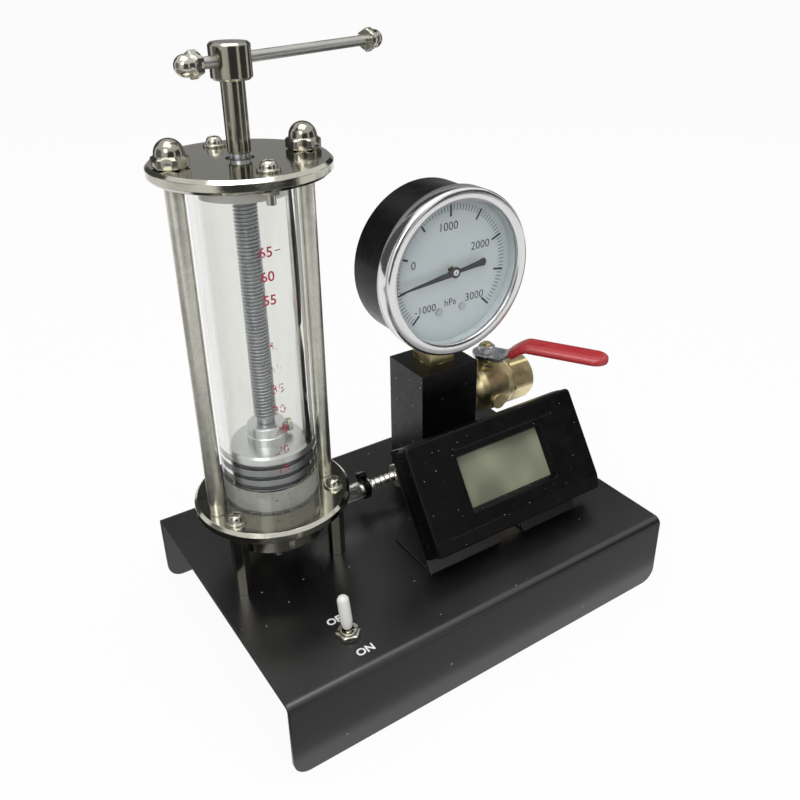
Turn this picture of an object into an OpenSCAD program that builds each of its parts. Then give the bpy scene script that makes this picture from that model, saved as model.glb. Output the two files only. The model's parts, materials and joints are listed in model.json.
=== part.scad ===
// Gas law apparatus: a screw-driven piston in a clear graduated cylinder, a pressure gauge,
// a ball valve and a digital thermometer on a bent sheet base. Millimetres, +Z up.
// The origin is on the floor under the middle of the base; the switch is at the front (-Y).

/* [Base] */
// Length of the base along X
base_l = 172; // [168:1:190]
// Depth of the base along Y
base_d = 120; // [116:1:135]
// Height of the base, floor to deck
base_h = 31.7; // [28:0.1:40]
// Thickness of the bent sheet
sheet_t = 1.5; // [1:0.1:2]
// Outer radius of the two bends
bend_r = 3; // [2.5:0.1:5]
// Radius of the flanges' lower corners
foot_corner_r = 6; // [3:0.5:10]

/* [Cylinder] */
// Cylinder axis, distance left of the base's middle
tower_x = -54.9; // [-57:0.1:-52]
// Cylinder axis, distance behind the base's middle
tower_y = 9.9; // [6:0.1:14]
// Height of the bottom plate over the deck
standoff_h = 27.3; // [26:0.1:34]
// Distance between the two plates
plate_gap = 119.4; // [112:0.1:130]
// Radius of both end plates
plate_r = 28.9; // [28.5:0.1:31]
// Thickness of both end plates
plate_t = 4.5; // [4.2:0.1:6]
// Chamfer on the plates' edges
plate_chamfer = 1.1; // [0.5:0.1:1.4]
// Bore of the clear tube
tube_bore = 28.3; // [27.9:0.05:28.6]
// Outer diameter of the clear tube
tube_od = 35; // [34.5:0.1:36]
// Depth of the tube's seat in each plate
seat_depth = 1; // [0.8:0.1:1.2]
// Thickness of the tube's gaskets
gasket_t = 0.5; // [0.3:0.1:0.6]
// Radius of the circle that the tie rods stand on
rod_pitch_r = 22.1; // [21.6:0.1:22.6]
// Diameter of the tie rods
rod_d = 5.9; // [5.4:0.1:6.4]
// Radius of the circle that the standoffs stand on
standoff_pitch_r = 22.85; // [22.6:0.05:23.2]
// Width across flats of the standoffs
standoff_af = 5.5; // [5:0.5:6]

/* [Piston and screw] */
// Height of the piston's crown over the bottom plate at rest
piston_rest = 8.6; // [4:0.1:14]
// Height of the piston's skirt
piston_h = 14.2; // [12:0.1:16]
// Radius of the piston's hub
hub_r = 6.9; // [6.4:0.1:7.4]
// Height of the hub over the piston
hub_h = 7.1; // [6.4:0.1:9]
// Major diameter of the spindle's thread
thread_d = 8; // [7.6:0.1:8.4]
// Lead of the spindle's thread
thread_pitch = 1.25; // [1:0.05:1.5]
// Diameter of the plain shank over the thread
shank_d = 7.4; // [7:0.1:7.6]
// Length of the spindle that stands over the top plate
spindle_out = 23.2; // [18:0.1:26]
// Radius of the spindle's head
head_r = 6.3; // [5.8:0.1:7]
// Height of the spindle's head
head_h = 10.6; // [10:0.1:12]
// Diameter of the tommy bar
bar_d = 3.5; // [3:0.1:3.8]
// Turn of the tommy bar from +X
bar_turn = 19.7; // [0:0.1:45]
// Free length of the bar left of the spindle's axis
bar_left = 12.6; // [10:0.1:20]
// Free length of the bar right of the spindle's axis
bar_right = 63.3; // [50:0.1:70]

/* [Manifold and hose] */
// Manifold block, width along X
block_w = 27.5; // [26:0.1:29]
// Manifold block, depth along Y
block_d = 23.7; // [22:0.1:25]
// Manifold block, height over the deck
block_h = 61.2; // [59:0.1:66]
// Middle of the block along X
block_x = 23.85; // [21:0.05:25]
// Middle of the block along Y
block_y = 16.3; // [15:0.1:18]
// Height of the hose's axis over the deck
hose_rise = 10.4; // [10:0.1:11]
// Outer diameter of the clear hose
hose_od = 7; // [6.6:0.1:7.4]
// Largest diameter of the hose barbs
barb_d = 4.8; // [4.4:0.1:4.9]

/* [Gauge] */
// Height of the gauge's axis over the block
gauge_rise = 41.9; // [41:0.1:46]
// Outer radius of the gauge's case
case_r = 31.4; // [30.6:0.1:32]
// Depth of the gauge from its bezel's front to its back
gauge_depth = 26.4; // [26:0.1:29]
// Distance of the bezel's front before the block's middle
gauge_front = 17.5; // [17:0.1:18.5]
// Thickness of the bezel's wall round the case
bezel_wall = 1.5; // [1.2:0.1:2]
// Radius of the window's opening in the bezel
window_r = 28.1; // [27:0.1:28.6]
// Turn of the pointer at rest, counted from +X as seen from the front
pointer_rest = 187; // [185:1:200]
// Length of the pointer from its arbor to its tip
pointer_l = 25.4; // [20:0.2:26]

/* [Ball valve] */
// Height of the valve's axis over the deck
valve_rise = 40.3; // [38:0.1:42]
// Distance of the valve's stem from the block's side
stem_out = 14.4; // [14:0.1:17]
// Distance of the valve's open end from the block's side
valve_out = 34.4; // [34:0.1:38]
// Radius of the ball
ball_r = 6.6; // [6.2:0.1:6.8]
// Bore through the ball
ball_bore = 7; // [6:0.1:7.4]
// Radius of the thread in the open end
outlet_r = 5.8; // [5.4:0.1:6]
// Turn of the lever at rest, counted from +X
lever_rest = -59.3; // [-85:0.1:-5]
// Length of the lever from the stem
lever_l = 52.4; // [45:0.1:56]
// Rise of the lever's grip over its flat foot
lever_lift = 7; // [6:0.1:9]
// Width of the red grip
grip_w = 11.4; // [10.8:0.1:12.4]

/* [Thermometer] */
// Width of the thermometer's housing
thermo_w = 83.3; // [80:0.1:86]
// Height of the housing along its slope
thermo_h = 43.5; // [42:0.1:46]
// Depth of the housing
thermo_t = 11.5; // [11.2:0.1:13]
// Lean of the housing from the vertical
thermo_lean = 33.7; // [30:0.1:36]
// Left edge of the housing along X
thermo_x = -12.8; // [-16:0.1:-11]
// Distance of the housing's lower edge behind the base's front
thermo_inset = 19.6; // [17:0.1:21]
// Height of that edge over the deck
thermo_rise = 11.3; // [11:0.1:13]
// Width of the display
lcd_w = 41; // [38:0.5:42]
// Height of the display
lcd_h = 20.5; // [18:0.5:22]

/* [Switch] */
// Switch along X
switch_x = -54.2; // [-60:0.1:-48]
// Distance of the switch behind the base's front
switch_inset = 17.2; // [14:0.1:22]
// Lean of the switch's lever to each side
switch_lean = 12; // [8:1:14]

/* [Fits] */
// Radial gap of a shaft that turns or slides in its bore
run_gap = 0.06; // [0.03:0.01:0.09]
// Radial gap of a screw in its tapped hole
thread_gap = 0.04; // [0.02:0.01:0.08]
// Radial gap of a screw in a clearance hole
screw_gap = 0.2; // [0.15:0.05:0.3]

/* [Hidden] */
$fn = 64;

eps = 0.01;
cut = 1;                                     // how far a cutter runs past a face
deck_under = base_h - sheet_t;
m3_r = 1.5;
m3_head_r = 2.8;
m3_head_h = 2;
flange_r = 3.7;
flange_t = 0.8;
dome_r = 2.7;
dome_h = 3.1;
socket_af = 1.6;
m3_grip = 6;                                 // how far a screw runs into its tapped hole
block_screw_sides = [-1, 1];
block_screw_x = 7;
block_screw_y = 6;

// Heights of the tower, from the deck up
plate_lo = base_h + standoff_h;
plate_lo_top = plate_lo + plate_t;
plate_hi = plate_lo_top + plate_gap;
plate_hi_top = plate_hi + plate_t;
tube_r = tube_od / 2;
bore_r = tube_bore / 2;
rod_r = rod_d / 2;
standoff_turns = [-150, -30, 90];
rod_turns = [0, 180];
bolt_turns = [-90, 90];
bolt_pitch_r = tube_r + 3;
seat_gap = 0.1;
neck_drop = 2;                               // turned neck at the foot of each tie rod
bolt_tail = 5.6;
rod_tail_r = 2.5;

// Boss and hose under the bottom plate
boss_r = standoff_pitch_r - standoff_af / (2 * cos(30)) - 0.2;
boss_h = 11.4;
boss_lo = plate_lo - boss_h;
chamber_r = 12.5;
chamber_h = 5;
gas_hole_r = 5;
hose_z = base_h + hose_rise;
hose_y = block_y;
barb_r = barb_d / 2;
hose_bore_r = barb_r + run_gap;
hose_r = hose_od / 2;
elbow_r = 4.5;
elbow_bore_r = 1.4;
elbow_barb_l = 13;
probe_r = 1.5;
probe_pitch_r = 9.5;
probe_turn = -113;
probe_lo = boss_lo - 8;
gland_h = 3.4;
flush_pitch_r = 10;
boss_screw_pitch_r = 16;
boss_screw_turns = [0, 120, 240];
bush_screw_turns = [30, 150, 270];
flush_head_r = 2.4;
flush_head_h = 1.6;

// Piston and screw
piston_lo = plate_lo_top + piston_rest;
piston_hi = piston_lo + piston_h;
piston_r = bore_r - run_gap;
ring_section_r = 0.9;
ring_heights = [1.6, 5.6, 9.8];
hub_lo = piston_hi;
hub_hi = hub_lo + hub_h;
hub_spigot_r = 4.5;
hub_spigot_h = 6;
journal_r = 2.5;
journal_lo = hub_lo - 3;
groove_r = 1.6;
groove_h = 2.6;
hub_screw_z = hub_lo + 3.4;
hub_screw_turn = -8;
hub_screw_r = 1;
bush_h = 6;
bush_lo = plate_hi - bush_h;
thread_r = thread_d / 2;
shank_r = shank_d / 2;
runout_r = thread_r - 0.64 * thread_pitch;
neck_h = 1.6 * thread_pitch;                 // undercut at each end of the thread
thread_lo = hub_hi + neck_h;
shank_lo = plate_hi_top + neck_h;
head_lo = plate_hi_top + spindle_out;
spigot_r = 3;
spigot_h = 3;
bar_r = bar_d / 2;
bar_hole_r = bar_r + run_gap;
bar_z = head_lo + head_h / 2 + 0.3;
bar_end = 5.6;                               // how far the bar's ends run into their nuts
m4_af = 7;
m4_nut_h = 3.2;

// Block, valve and gauge
block_r_side = block_x + block_w / 2;
block_l_side = block_x - block_w / 2;
block_hi = base_h + block_h;
duct_r = 2.5;
port_r = 4.9;
barb_hex_h = 6;
barb_hex_af = 9.5;
barb_out = 24;
hose_lo_x = tower_x + elbow_r + 1;
hose_hi_x = block_l_side - barb_out + 5.5;
valve_z = base_h + valve_rise;
stem_x = block_r_side + stem_out;
valve_tip = block_r_side + valve_out;
inlet_r = 6.4;
inlet_l = 8;
body_r = 11;
cavity_r = ball_r + 0.3;
seat_t = 2.4;
end_af = 19;
end_l = 11;
end_x = valve_tip - end_l;
valve_neck_r = 4.6;
valve_neck_hi = valve_z + 12.2;
stem_r = 2.4;
stem_screw_r = 1.9;
valve_bore_r = 3.6;
lever_foot_z = valve_neck_hi + 2.4;
lever_t = 1.6;
lever_steel_w = 8.4;
lever_bend_a = 7.6;
lever_bend_b = 18.6;
grip_wall = 1.3;
grip_start = 11.5;
lever_nut_h = 3.2;
lever_nut_af = 6.4;

gauge_x = block_x;
gauge_z = block_hi + gauge_rise;
gauge_y = block_y - gauge_front;             // front of the bezel
gauge_back = gauge_y + gauge_depth;
case_wall = 1.2;
case_front = gauge_y + 3.4;
bezel_lip = 1.2;
bezel_r = case_r + bezel_wall;
bezel_depth = 7.4;
window_t = 1.5;
dial_t = 0.6;
dial_drop = 6.6;                             // from the bezel's front to the dial's face
dial_y = gauge_y + dial_drop;
dial_r = case_r - case_wall - 0.6;
stem_af = 12;
stem_thread_r = 6.2;
stem_thread_l = 9;
socket_w = 10;
socket_hi = gauge_z - 15;
coil_r = 24;
coil_y = gauge_y + 16.4;
coil_start = -75.5;
coil_sweep = 247;
coil_tube_r = 1.7;
coil_end_r = 2.1;
coil_tip_l = 3;
coil_inlet = 1.4;
movement_t = 0.8;
movement_gap = 1.8;
movement_back = block_y - stem_af / 2 - movement_t;
movement_front = movement_back - movement_gap - movement_t;
arbor_r = 0.6;
small_screw_r = 0.8;
small_screw_grip = 3.5;
dial_screw_xs = [-5.5, 5.5];
dial_screw_z = -16;                          // under the gauge's axis
movement_screw_zs = [-18, -22];
hub_plate_r = 4;                             // outline of the movement's two plates
foot_w = 15;
foot_lo = -24;
web_w = 6;
pivot_eye_r = 2.6;
pillar_x = 6;
pillar_z = -21;
pillar_r = 1.2;
sector_hub_r = 2;
sector_rim = 2.4;
pointer_hub_r = 2;
pointer_tail = 12.8;
tail_r = 1.8;
gear_module = 1 / 3;
pinion_teeth = 12;
gear_ratio = 8;
pinion_r = gear_module * pinion_teeth / 2;
sector_r = pinion_r * gear_ratio;
sector_arm = pinion_r + sector_r;
sector_turn = -132;                          // direction of the sector's pivot from the arbor
gear_t = 1;
pointer_y = gauge_y + bezel_lip + window_t + 0.7;
pointer_t = 0.4;

// Thermometer, in its own frame: x along it, y up its slope, z out of its face
thermo_y = -base_d / 2 + thermo_inset;
thermo_z = base_h + thermo_rise;
shell_wall = 1.6;
edge_c = 0.8;
strip_h = 5.8;                               // sloping strip along the face's lower edge
front_depth = 7;
face_t = 2;
lcd_x = (thermo_w - lcd_w) / 2;
lcd_y = 12;
lcd_t = 2.2;
board_t = 1.6;
board_z = -face_t - 1 - lcd_t - board_t;
cell_h = 2.8;
cell_r = 5.8;
board_inset = 3;
lcd_border = 3;
stand_t = 1.2;
stand_w = 75;
stand_h = 36;
stand_y1 = thermo_y + 30.7;
stand_screw_xs = [thermo_x + 12, thermo_x + stand_w - 15];
stand_screw_y = stand_y1 - 8;

// Switch
switch_y = -base_d / 2 + switch_inset;
switch_nut_h = 2.2;
pivot_z = base_h + 1;
bushing_r = 3;
bushing_hi = base_h + switch_nut_h + 0.4;
switch_body_hi = deck_under;
toggle_bore_r = 2.3;
toggle_r = 1.2;
toggle_l = 12;
toggle_pin_r = 0.6;
cap_r = 2.4;
cap_lo = 2.3;                                // along the lever, from its pivot
cap_neck_r = 1.7;
cap_neck_h = 2.6;
cap_mid = 12.8;

// ---------- helpers ----------
module at_tower(z = 0) { translate([tower_x, tower_y, z]) children(); }
module around(turns, r) { for (a = turns) rotate([0, 0, a]) translate([r, 0, 0]) children(); }
module at_gauge(y) { translate([gauge_x, y, gauge_z]) rotate([90, 0, 0]) children(); }
module along_x(x, y, z) { translate([x, y, z]) rotate([0, 90, 0]) children(); }
module hex(af, h) { cylinder(d = af / cos(30), h = h, $fn = 6); }
module ring(r_out, r_in, h) {
    difference() {
        cylinder(r = r_out, h = h);
        translate([0, 0, -cut]) cylinder(r = r_in, h = h + 2 * cut);
    }
}
module chamfered_disc(r, h, c) {
    rotate_extrude() polygon([[0, 0], [r - c, 0], [r, c], [r, h - c], [r - c, h], [0, h]]);
}
// Head below z = 0, shank above it
module pan_screw(r, l, head_r, head_h) {
    translate([0, 0, -head_h]) rotate_extrude()
        polygon([[0, 0], [head_r - 0.5, 0], [head_r, 0.6], [head_r, head_h], [r, head_h],
            [r, head_h + l], [0, head_h + l]]);
}
// Flange and domed head over z = 0, shank below it
module flange_screw(r, l) {
    difference() {
        rotate_extrude() polygon([[0, -l], [r, -l], [r, 0], [flange_r, 0], [flange_r, flange_t],
            [dome_r, flange_t + 0.1], [dome_r, 0.65 * dome_h], [0.8 * dome_r, 0.9 * dome_h],
            [0.45 * dome_r, dome_h], [0, dome_h]]);
        translate([0, 0, 0.65 * dome_h]) hex(socket_af, dome_h);
    }
}
// Domed nut standing on z = 0 with a blind tapped hole
module acorn_nut(af, hex_h, dome_r, neck, hole_r, hole_h) {
    difference() {
        union() {
            intersection() {
                hex(af, hex_h);
                rotate_extrude() polygon([[0, 0], [af * 0.5, 0], [af * 0.6, af * 0.06],
                    [af * 0.6, hex_h - af * 0.06], [af * 0.48, hex_h], [0, hex_h]]);
            }
            translate([0, 0, hex_h]) cylinder(r = dome_r, h = neck);
            translate([0, 0, hex_h + neck]) intersection() {
                sphere(r = dome_r);
                translate([0, 0, dome_r]) cube(dome_r * 2, center = true);
            }
        }
        translate([0, 0, -cut]) cylinder(r = hole_r, h = hole_h + cut);
    }
}
// Barb that points along +Z, with its foot on z = 0
module barb(l, ridges) {
    step = (l - 1) / ridges;
    root = barb_r - 0.45;
    points = [for (i = [0 : ridges - 1]) each [[root, 1 + i * step], [barb_r, 1 + i * step + 0.5],
        [root, 1 + (i + 1) * step - 0.3]]];
    rotate_extrude() polygon(concat([[0, 0], [root, 0]], points, [[root - 0.3, l], [0, l]]));
}
module corner_cutter(s) {
    translate([s * base_l / 2, 0, 0]) difference() {
        translate([0, 0, foot_corner_r / 2 - cut / 2])
            cube([2 * foot_corner_r, base_d + 2 * cut, foot_corner_r + cut], center = true);
        translate([-s * foot_corner_r, 0, foot_corner_r]) rotate([90, 0, 0])
            cylinder(r = foot_corner_r, h = base_d + 4 * cut, center = true);
        translate([-s * 2 * foot_corner_r, 0, foot_corner_r / 2])
            cube([2 * foot_corner_r, base_d + 4 * cut, 3 * foot_corner_r], center = true);
    }
}
module bend_section(y, s) {
    translate([y, base_h - bend_r]) intersection() {
        difference() { circle(bend_r); circle(bend_r - sheet_t); }
        translate([s > 0 ? 0 : -bend_r, 0]) square(bend_r);
    }
}

// ---------- base ----------
module at_block_screws(z) {
    for (s = block_screw_sides)
        translate([block_x + s * block_screw_x, block_y + s * block_screw_y, z]) children();
}
module base_cover() {
    half_d = base_d / 2;
    color([0.07, 0.07, 0.075]) difference() {
        rotate([90, 0, 90]) linear_extrude(base_l, center = true) {
            translate([-half_d + bend_r, base_h - sheet_t]) square([base_d - 2 * bend_r, sheet_t]);
            translate([-half_d, 0]) square([sheet_t, base_h - bend_r]);
            translate([half_d - sheet_t, 0]) square([sheet_t, base_h - bend_r]);
            bend_section(-half_d + bend_r, -1);
            bend_section(half_d - bend_r, 1);
        }
        corner_cutter(1);
        corner_cutter(-1);
        translate([0, 0, deck_under - cut]) {
            at_tower() around(standoff_turns, standoff_pitch_r)
                cylinder(r = m3_r + screw_gap, h = sheet_t + 2 * cut);
            at_block_screws(0) cylinder(r = m3_r + screw_gap, h = sheet_t + 2 * cut);
            for (x = stand_screw_xs) translate([x, stand_screw_y, 0])
                cylinder(r = m3_r + screw_gap, h = sheet_t + 2 * cut);
            translate([switch_x, switch_y, 0])
                cylinder(r = bushing_r + screw_gap, h = sheet_t + 2 * cut);
        }
    }
}
module base_screws() {
    color([0.75, 0.74, 0.72]) translate([0, 0, deck_under]) {
        at_tower() around(standoff_turns, standoff_pitch_r)
            pan_screw(m3_r, sheet_t + m3_grip, m3_head_r, m3_head_h);
        at_block_screws(0) pan_screw(m3_r, sheet_t + m3_grip, m3_head_r, m3_head_h);
        for (x = stand_screw_xs) translate([x, stand_screw_y, 0])
            pan_screw(m3_r, sheet_t + stand_t, m3_head_r, m3_head_h);
    }
}

// ---------- switch ----------
module switch_body() {
    color([0.15, 0.25, 0.5]) translate([switch_x, switch_y, 0]) difference() {
        union() {
            translate([-3.95, -6.6, switch_body_hi - 9.5]) cube([7.9, 13.2, 9.5]);
            translate([0, 0, switch_body_hi]) cylinder(r = bushing_r, h = bushing_hi - switch_body_hi);
            for (y = [-4.7, 0, 4.7]) translate([-0.4, y - 1, switch_body_hi - 9.5 - 4])
                cube([0.8, 2, 4]);
        }
        translate([0, 0, pivot_z - 3.6]) cylinder(r = toggle_bore_r, h = 20);
        along_x(-bushing_r - cut, 0, pivot_z) cylinder(r = toggle_pin_r + run_gap, h = 2 * (bushing_r + cut));
    }
}
module switch_nut() {
    color([0.8, 0.79, 0.76]) translate([switch_x, switch_y, base_h]) difference() {
        hex(8, switch_nut_h);
        translate([0, 0, -cut]) cylinder(r = bushing_r + thread_gap, h = switch_nut_h + 2 * cut);
    }
}
module toggle() { translate([switch_x, switch_y, pivot_z]) rotate([-switch_lean, 0, 0]) children(); }
module switch_lever() {
    color([0.8, 0.8, 0.78]) toggle() {
        sphere(r = 1.7);
        translate([0, 0, -2.6]) cylinder(r = 0.9, h = 2.6);
        cylinder(r = toggle_r, h = toggle_l);
        along_x(0.2 - bushing_r, 0, 0) cylinder(r = toggle_pin_r, h = 2 * bushing_r - 0.4);
    }
}
module switch_cap() {
    color("white") toggle() difference() {
        rotate_extrude() {
            polygon([[0, cap_lo], [cap_neck_r, cap_lo], [cap_r, cap_lo + cap_neck_h], [cap_r, cap_mid],
                [0, cap_mid]]);
            translate([0, cap_mid]) intersection() { circle(cap_r); translate([0, -eps]) square(cap_r + 1); }
        }
        cylinder(r = toggle_r + thread_gap, h = toggle_l + thread_gap);
    }
}

// ---------- tower ----------
module standoffs() {
    color([0.78, 0.75, 0.68]) at_tower(base_h) around(standoff_turns, standoff_pitch_r) difference() {
        hex(standoff_af, standoff_h);
        translate([0, 0, -cut]) cylinder(r = m3_r + thread_gap, h = m3_grip + 1 + cut);
        translate([0, 0, standoff_h - m3_grip - 2]) cylinder(r = m3_r + thread_gap, h = m3_grip + 2 + cut);
    }
}
module plate_screws() {
    color([0.82, 0.8, 0.76]) at_tower(plate_lo_top) around(standoff_turns, standoff_pitch_r)
        flange_screw(m3_r, plate_t + m3_grip);
}
module tube_seat(z) {
    translate([0, 0, z]) difference() {
        cylinder(r = tube_r + seat_gap, h = seat_depth + cut);
        translate([0, 0, -cut]) cylinder(r = bore_r - seat_gap, h = seat_depth + 3 * cut);
    }
}
module bottom_plate() {
    color([0.8, 0.79, 0.75]) at_tower(plate_lo) difference() {
        chamfered_disc(plate_r, plate_t, plate_chamfer);
        tube_seat(plate_t - seat_depth);
        translate([0, 0, -cut]) {
            cylinder(r = gas_hole_r, h = plate_t + 2 * cut);
            around(standoff_turns, standoff_pitch_r)
                cylinder(r = m3_r + screw_gap, h = plate_t + 2 * cut);
            around(boss_screw_turns, boss_screw_pitch_r)
                cylinder(r = m3_r + thread_gap, h = plate_t - seat_depth - 0.5 + cut);
            around(rod_turns, rod_pitch_r)
                cylinder(r = rod_tail_r + thread_gap, h = plate_t + 2 * cut);
        }
    }
}
// Countersunk screw: head's face at z = 0, shank above it
module flush_screw(l) {
    rotate_extrude() polygon([[0, 0], [flush_head_r, 0], [m3_r, flush_head_h], [m3_r, l], [0, l]]);
}
module flush_hole(l) {
    g = thread_gap;
    rotate_extrude() polygon([[0, -cut], [flush_head_r + g, -cut], [flush_head_r + g, 0],
        [m3_r + screw_gap, flush_head_h], [m3_r + screw_gap, l], [0, l]]);
}
module gas_boss() {
    color([0.78, 0.77, 0.74]) at_tower(boss_lo) difference() {
        chamfered_disc(boss_r, boss_h, 0.6);
        translate([0, 0, boss_h - chamber_h]) cylinder(r = chamber_r, h = chamber_h + cut);
        around(boss_screw_turns, boss_screw_pitch_r) flush_hole(boss_h + cut);
        rotate([0, 0, probe_turn]) translate([probe_pitch_r, 0, -cut])
            cylinder(r = probe_r + thread_gap, h = boss_h);
        translate([0, hose_y - tower_y, -cut]) cylinder(r = duct_r + thread_gap, h = boss_h);
    }
}
module flush_screws() {
    color([0.6, 0.6, 0.6]) at_tower() {
        translate([0, 0, boss_lo]) around(boss_screw_turns, boss_screw_pitch_r)
            flush_screw(boss_h + plate_t - seat_depth - 1);
        translate([0, 0, bush_lo]) around(bush_screw_turns, flush_pitch_r)
            flush_screw(bush_h + plate_t - 1);
    }
}
module plate_gaskets() {
    color([0.1, 0.1, 0.1]) at_tower() {
        translate([0, 0, plate_lo_top - seat_depth]) ring(tube_r, bore_r, gasket_t);
        translate([0, 0, plate_hi + seat_depth - gasket_t]) ring(tube_r, bore_r, gasket_t);
    }
}
module boss_elbow() {
    color([0.8, 0.79, 0.76]) translate([tower_x, hose_y, 0]) difference() {
        union() {
            translate([0, 0, hose_z - elbow_r]) cylinder(r = elbow_r, h = boss_lo - hose_z + elbow_r);
            translate([0, 0, boss_lo - eps]) cylinder(r = duct_r, h = boss_h - chamber_h + eps);
            translate([elbow_r - 1, 0, hose_z]) rotate([0, 90, 0]) barb(elbow_barb_l + 1, 4);
        }
        translate([0, 0, hose_z]) cylinder(r = elbow_bore_r, h = 40);
        along_x(0, 0, hose_z) cylinder(r = elbow_bore_r, h = 40);
    }
}
module at_probe(z) { at_tower(z) rotate([0, 0, probe_turn]) translate([probe_pitch_r, 0, 0]) children(); }
module probe_gland() {
    color([0.75, 0.73, 0.7]) at_probe(boss_lo - gland_h) difference() {
        hex(6.4, gland_h);
        translate([0, 0, -cut]) cylinder(r = probe_r + thread_gap, h = gland_h + 2 * cut);
    }
}
module temperature_probe() {
    color([0.75, 0.75, 0.73]) at_probe(probe_lo) rotate_extrude()
        polygon([[0, 0], [probe_r - 0.4, 0], [probe_r, 0.4], [probe_r, plate_lo - probe_lo - 2],
            [0, plate_lo - probe_lo - 1]]);
}
module cylinder_tube() {
    lo = plate_lo_top - seat_depth + gasket_t;
    hi = plate_hi + seat_depth - gasket_t;
    color([0.9, 0.92, 0.93, 0.35]) at_tower(lo) ring(tube_r, bore_r, hi - lo);
}
module top_plate() {
    color([0.8, 0.79, 0.75]) at_tower(plate_hi) difference() {
        chamfered_disc(plate_r, plate_t, plate_chamfer);
        mirror([0, 0, 1]) tube_seat(-seat_depth);
        translate([0, 0, -cut]) {
            cylinder(r = thread_r + 0.5, h = plate_t + 2 * cut);
            around(rod_turns, rod_pitch_r) cylinder(r = rod_r + screw_gap, h = plate_t + 2 * cut);
            around(bolt_turns, bolt_pitch_r) cylinder(r = m3_r + screw_gap, h = plate_t + 2 * cut);
            around(bush_screw_turns, flush_pitch_r)
                cylinder(r = m3_r + thread_gap, h = plate_t - 0.6 + cut);
        }
    }
}
module thread_bush() {
    color([0.9, 0.9, 0.88]) at_tower(bush_lo) difference() {
        cylinder(r = bore_r - 0.15, h = bush_h);
        translate([0, 0, -cut]) cylinder(r = thread_r + run_gap, h = bush_h + 2 * cut);
        around(bush_screw_turns, flush_pitch_r) flush_hole(bush_h + cut);
    }
}
module plate_bolts() {
    color([0.82, 0.8, 0.76]) at_tower(plate_hi_top) around(bolt_turns, bolt_pitch_r)
        flange_screw(m3_r, plate_t + bolt_tail);
}
module bolt_nuts() {
    nut_h = 2.4;
    color([0.82, 0.8, 0.76]) at_tower(plate_hi - nut_h) around(bolt_turns, bolt_pitch_r) difference() {
        rotate([0, 0, 30]) hex(5.5, nut_h);
        translate([0, 0, -cut]) cylinder(r = m3_r + thread_gap, h = nut_h + 2 * cut);
    }
}
module tie_rods() {
    top = plate_hi_top + 4.6;
    color([0.75, 0.72, 0.65]) at_tower() around(rod_turns, rod_pitch_r) rotate_extrude()
        polygon([[0, plate_lo + 0.4], [rod_tail_r, plate_lo + 0.4], [rod_tail_r, plate_lo_top],
            [rod_r - 0.25, plate_lo_top], [rod_r - 0.25, plate_lo_top + neck_drop],
            [rod_r, plate_lo_top + neck_drop + 0.3], [rod_r, top - 0.5], [rod_r - 0.5, top], [0, top]]);
}
module acorn_nuts() {
    color([0.82, 0.8, 0.76]) at_tower(plate_hi_top) around(rod_turns, rod_pitch_r)
        acorn_nut(10, 3.8, 4.6, 0.3, rod_r + thread_gap, 5.2);
}

// ---------- piston and screw ----------
module piston() {
    color([0.72, 0.73, 0.74]) at_tower(piston_lo) difference() {
        rotate_extrude() polygon([[0, 0], [piston_r - 0.5, 0], [piston_r, 0.5],
            [piston_r, piston_h - 1], [piston_r - 1, piston_h], [0, piston_h]]);
        for (z = ring_heights) translate([0, 0, z]) rotate_extrude()
            translate([piston_r - ring_section_r * 2 + 0.05, -ring_section_r])
                square([3, ring_section_r * 2]);
        translate([0, 0, piston_h - hub_spigot_h])
            cylinder(r = hub_spigot_r + thread_gap, h = hub_spigot_h + cut);
    }
}
module piston_rings() {
    color([0.06, 0.06, 0.06]) at_tower(piston_lo) for (z = ring_heights) translate([0, 0, z])
        rotate_extrude() translate([bore_r - run_gap / 2 - ring_section_r, 0])
            circle(ring_section_r - 0.02);
}
module piston_hub() {
    color([0.78, 0.79, 0.8]) at_tower() difference() {
        union() {
            translate([0, 0, hub_lo - hub_spigot_h + 0.5]) cylinder(r = hub_spigot_r, h = hub_spigot_h);
            translate([0, 0, hub_lo]) rotate_extrude() polygon([[0, 0], [hub_r + 0.4, 0],
                [hub_r + 0.4, 3], [hub_r, 3.3], [hub_r, hub_h - 0.5], [hub_r - 0.5, hub_h], [0, hub_h]]);
        }
        translate([0, 0, journal_lo - 0.3]) cylinder(r = journal_r + run_gap, h = 40);
        at_hub_screw() cylinder(r = hub_screw_r + thread_gap, h = 12);
    }
}
module at_hub_screw() {
    translate([0, 0, hub_screw_z]) rotate([0, 0, hub_screw_turn]) translate([groove_r + 0.2, 0, 0])
        rotate([0, 90, 0]) children();
}
module hub_screw() {
    tip = hub_r + 0.4 - groove_r - 0.2;
    color([0.8, 0.8, 0.78]) at_tower() at_hub_screw() {
        cylinder(r = hub_screw_r, h = tip + 0.3);
        translate([0, 0, tip + 0.3]) cylinder(r = 2.4, h = 1.7);
    }
}
module spindle() {
    g_lo = hub_screw_z - groove_h / 2;
    g_hi = hub_screw_z + groove_h / 2;
    color([0.55, 0.56, 0.58]) at_tower() rotate_extrude() polygon([[0, journal_lo],
        [journal_r, journal_lo], [journal_r, g_lo], [groove_r, g_lo], [groove_r, g_hi],
        [journal_r, g_hi], [journal_r, hub_hi + 0.1], [runout_r, hub_hi + 0.1], [runout_r, thread_lo],
        [thread_r, thread_lo + 0.6], [thread_r, plate_hi_top - 0.6], [runout_r, plate_hi_top],
        [runout_r, shank_lo - 0.4], [shank_r, shank_lo], [shank_r, head_lo], [spigot_r, head_lo],
        [spigot_r, head_lo + spigot_h], [0, head_lo + spigot_h]]);
}
module at_bar() { translate([0, 0, bar_z]) rotate([0, 0, bar_turn]) rotate([0, 90, 0]) children(); }
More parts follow.
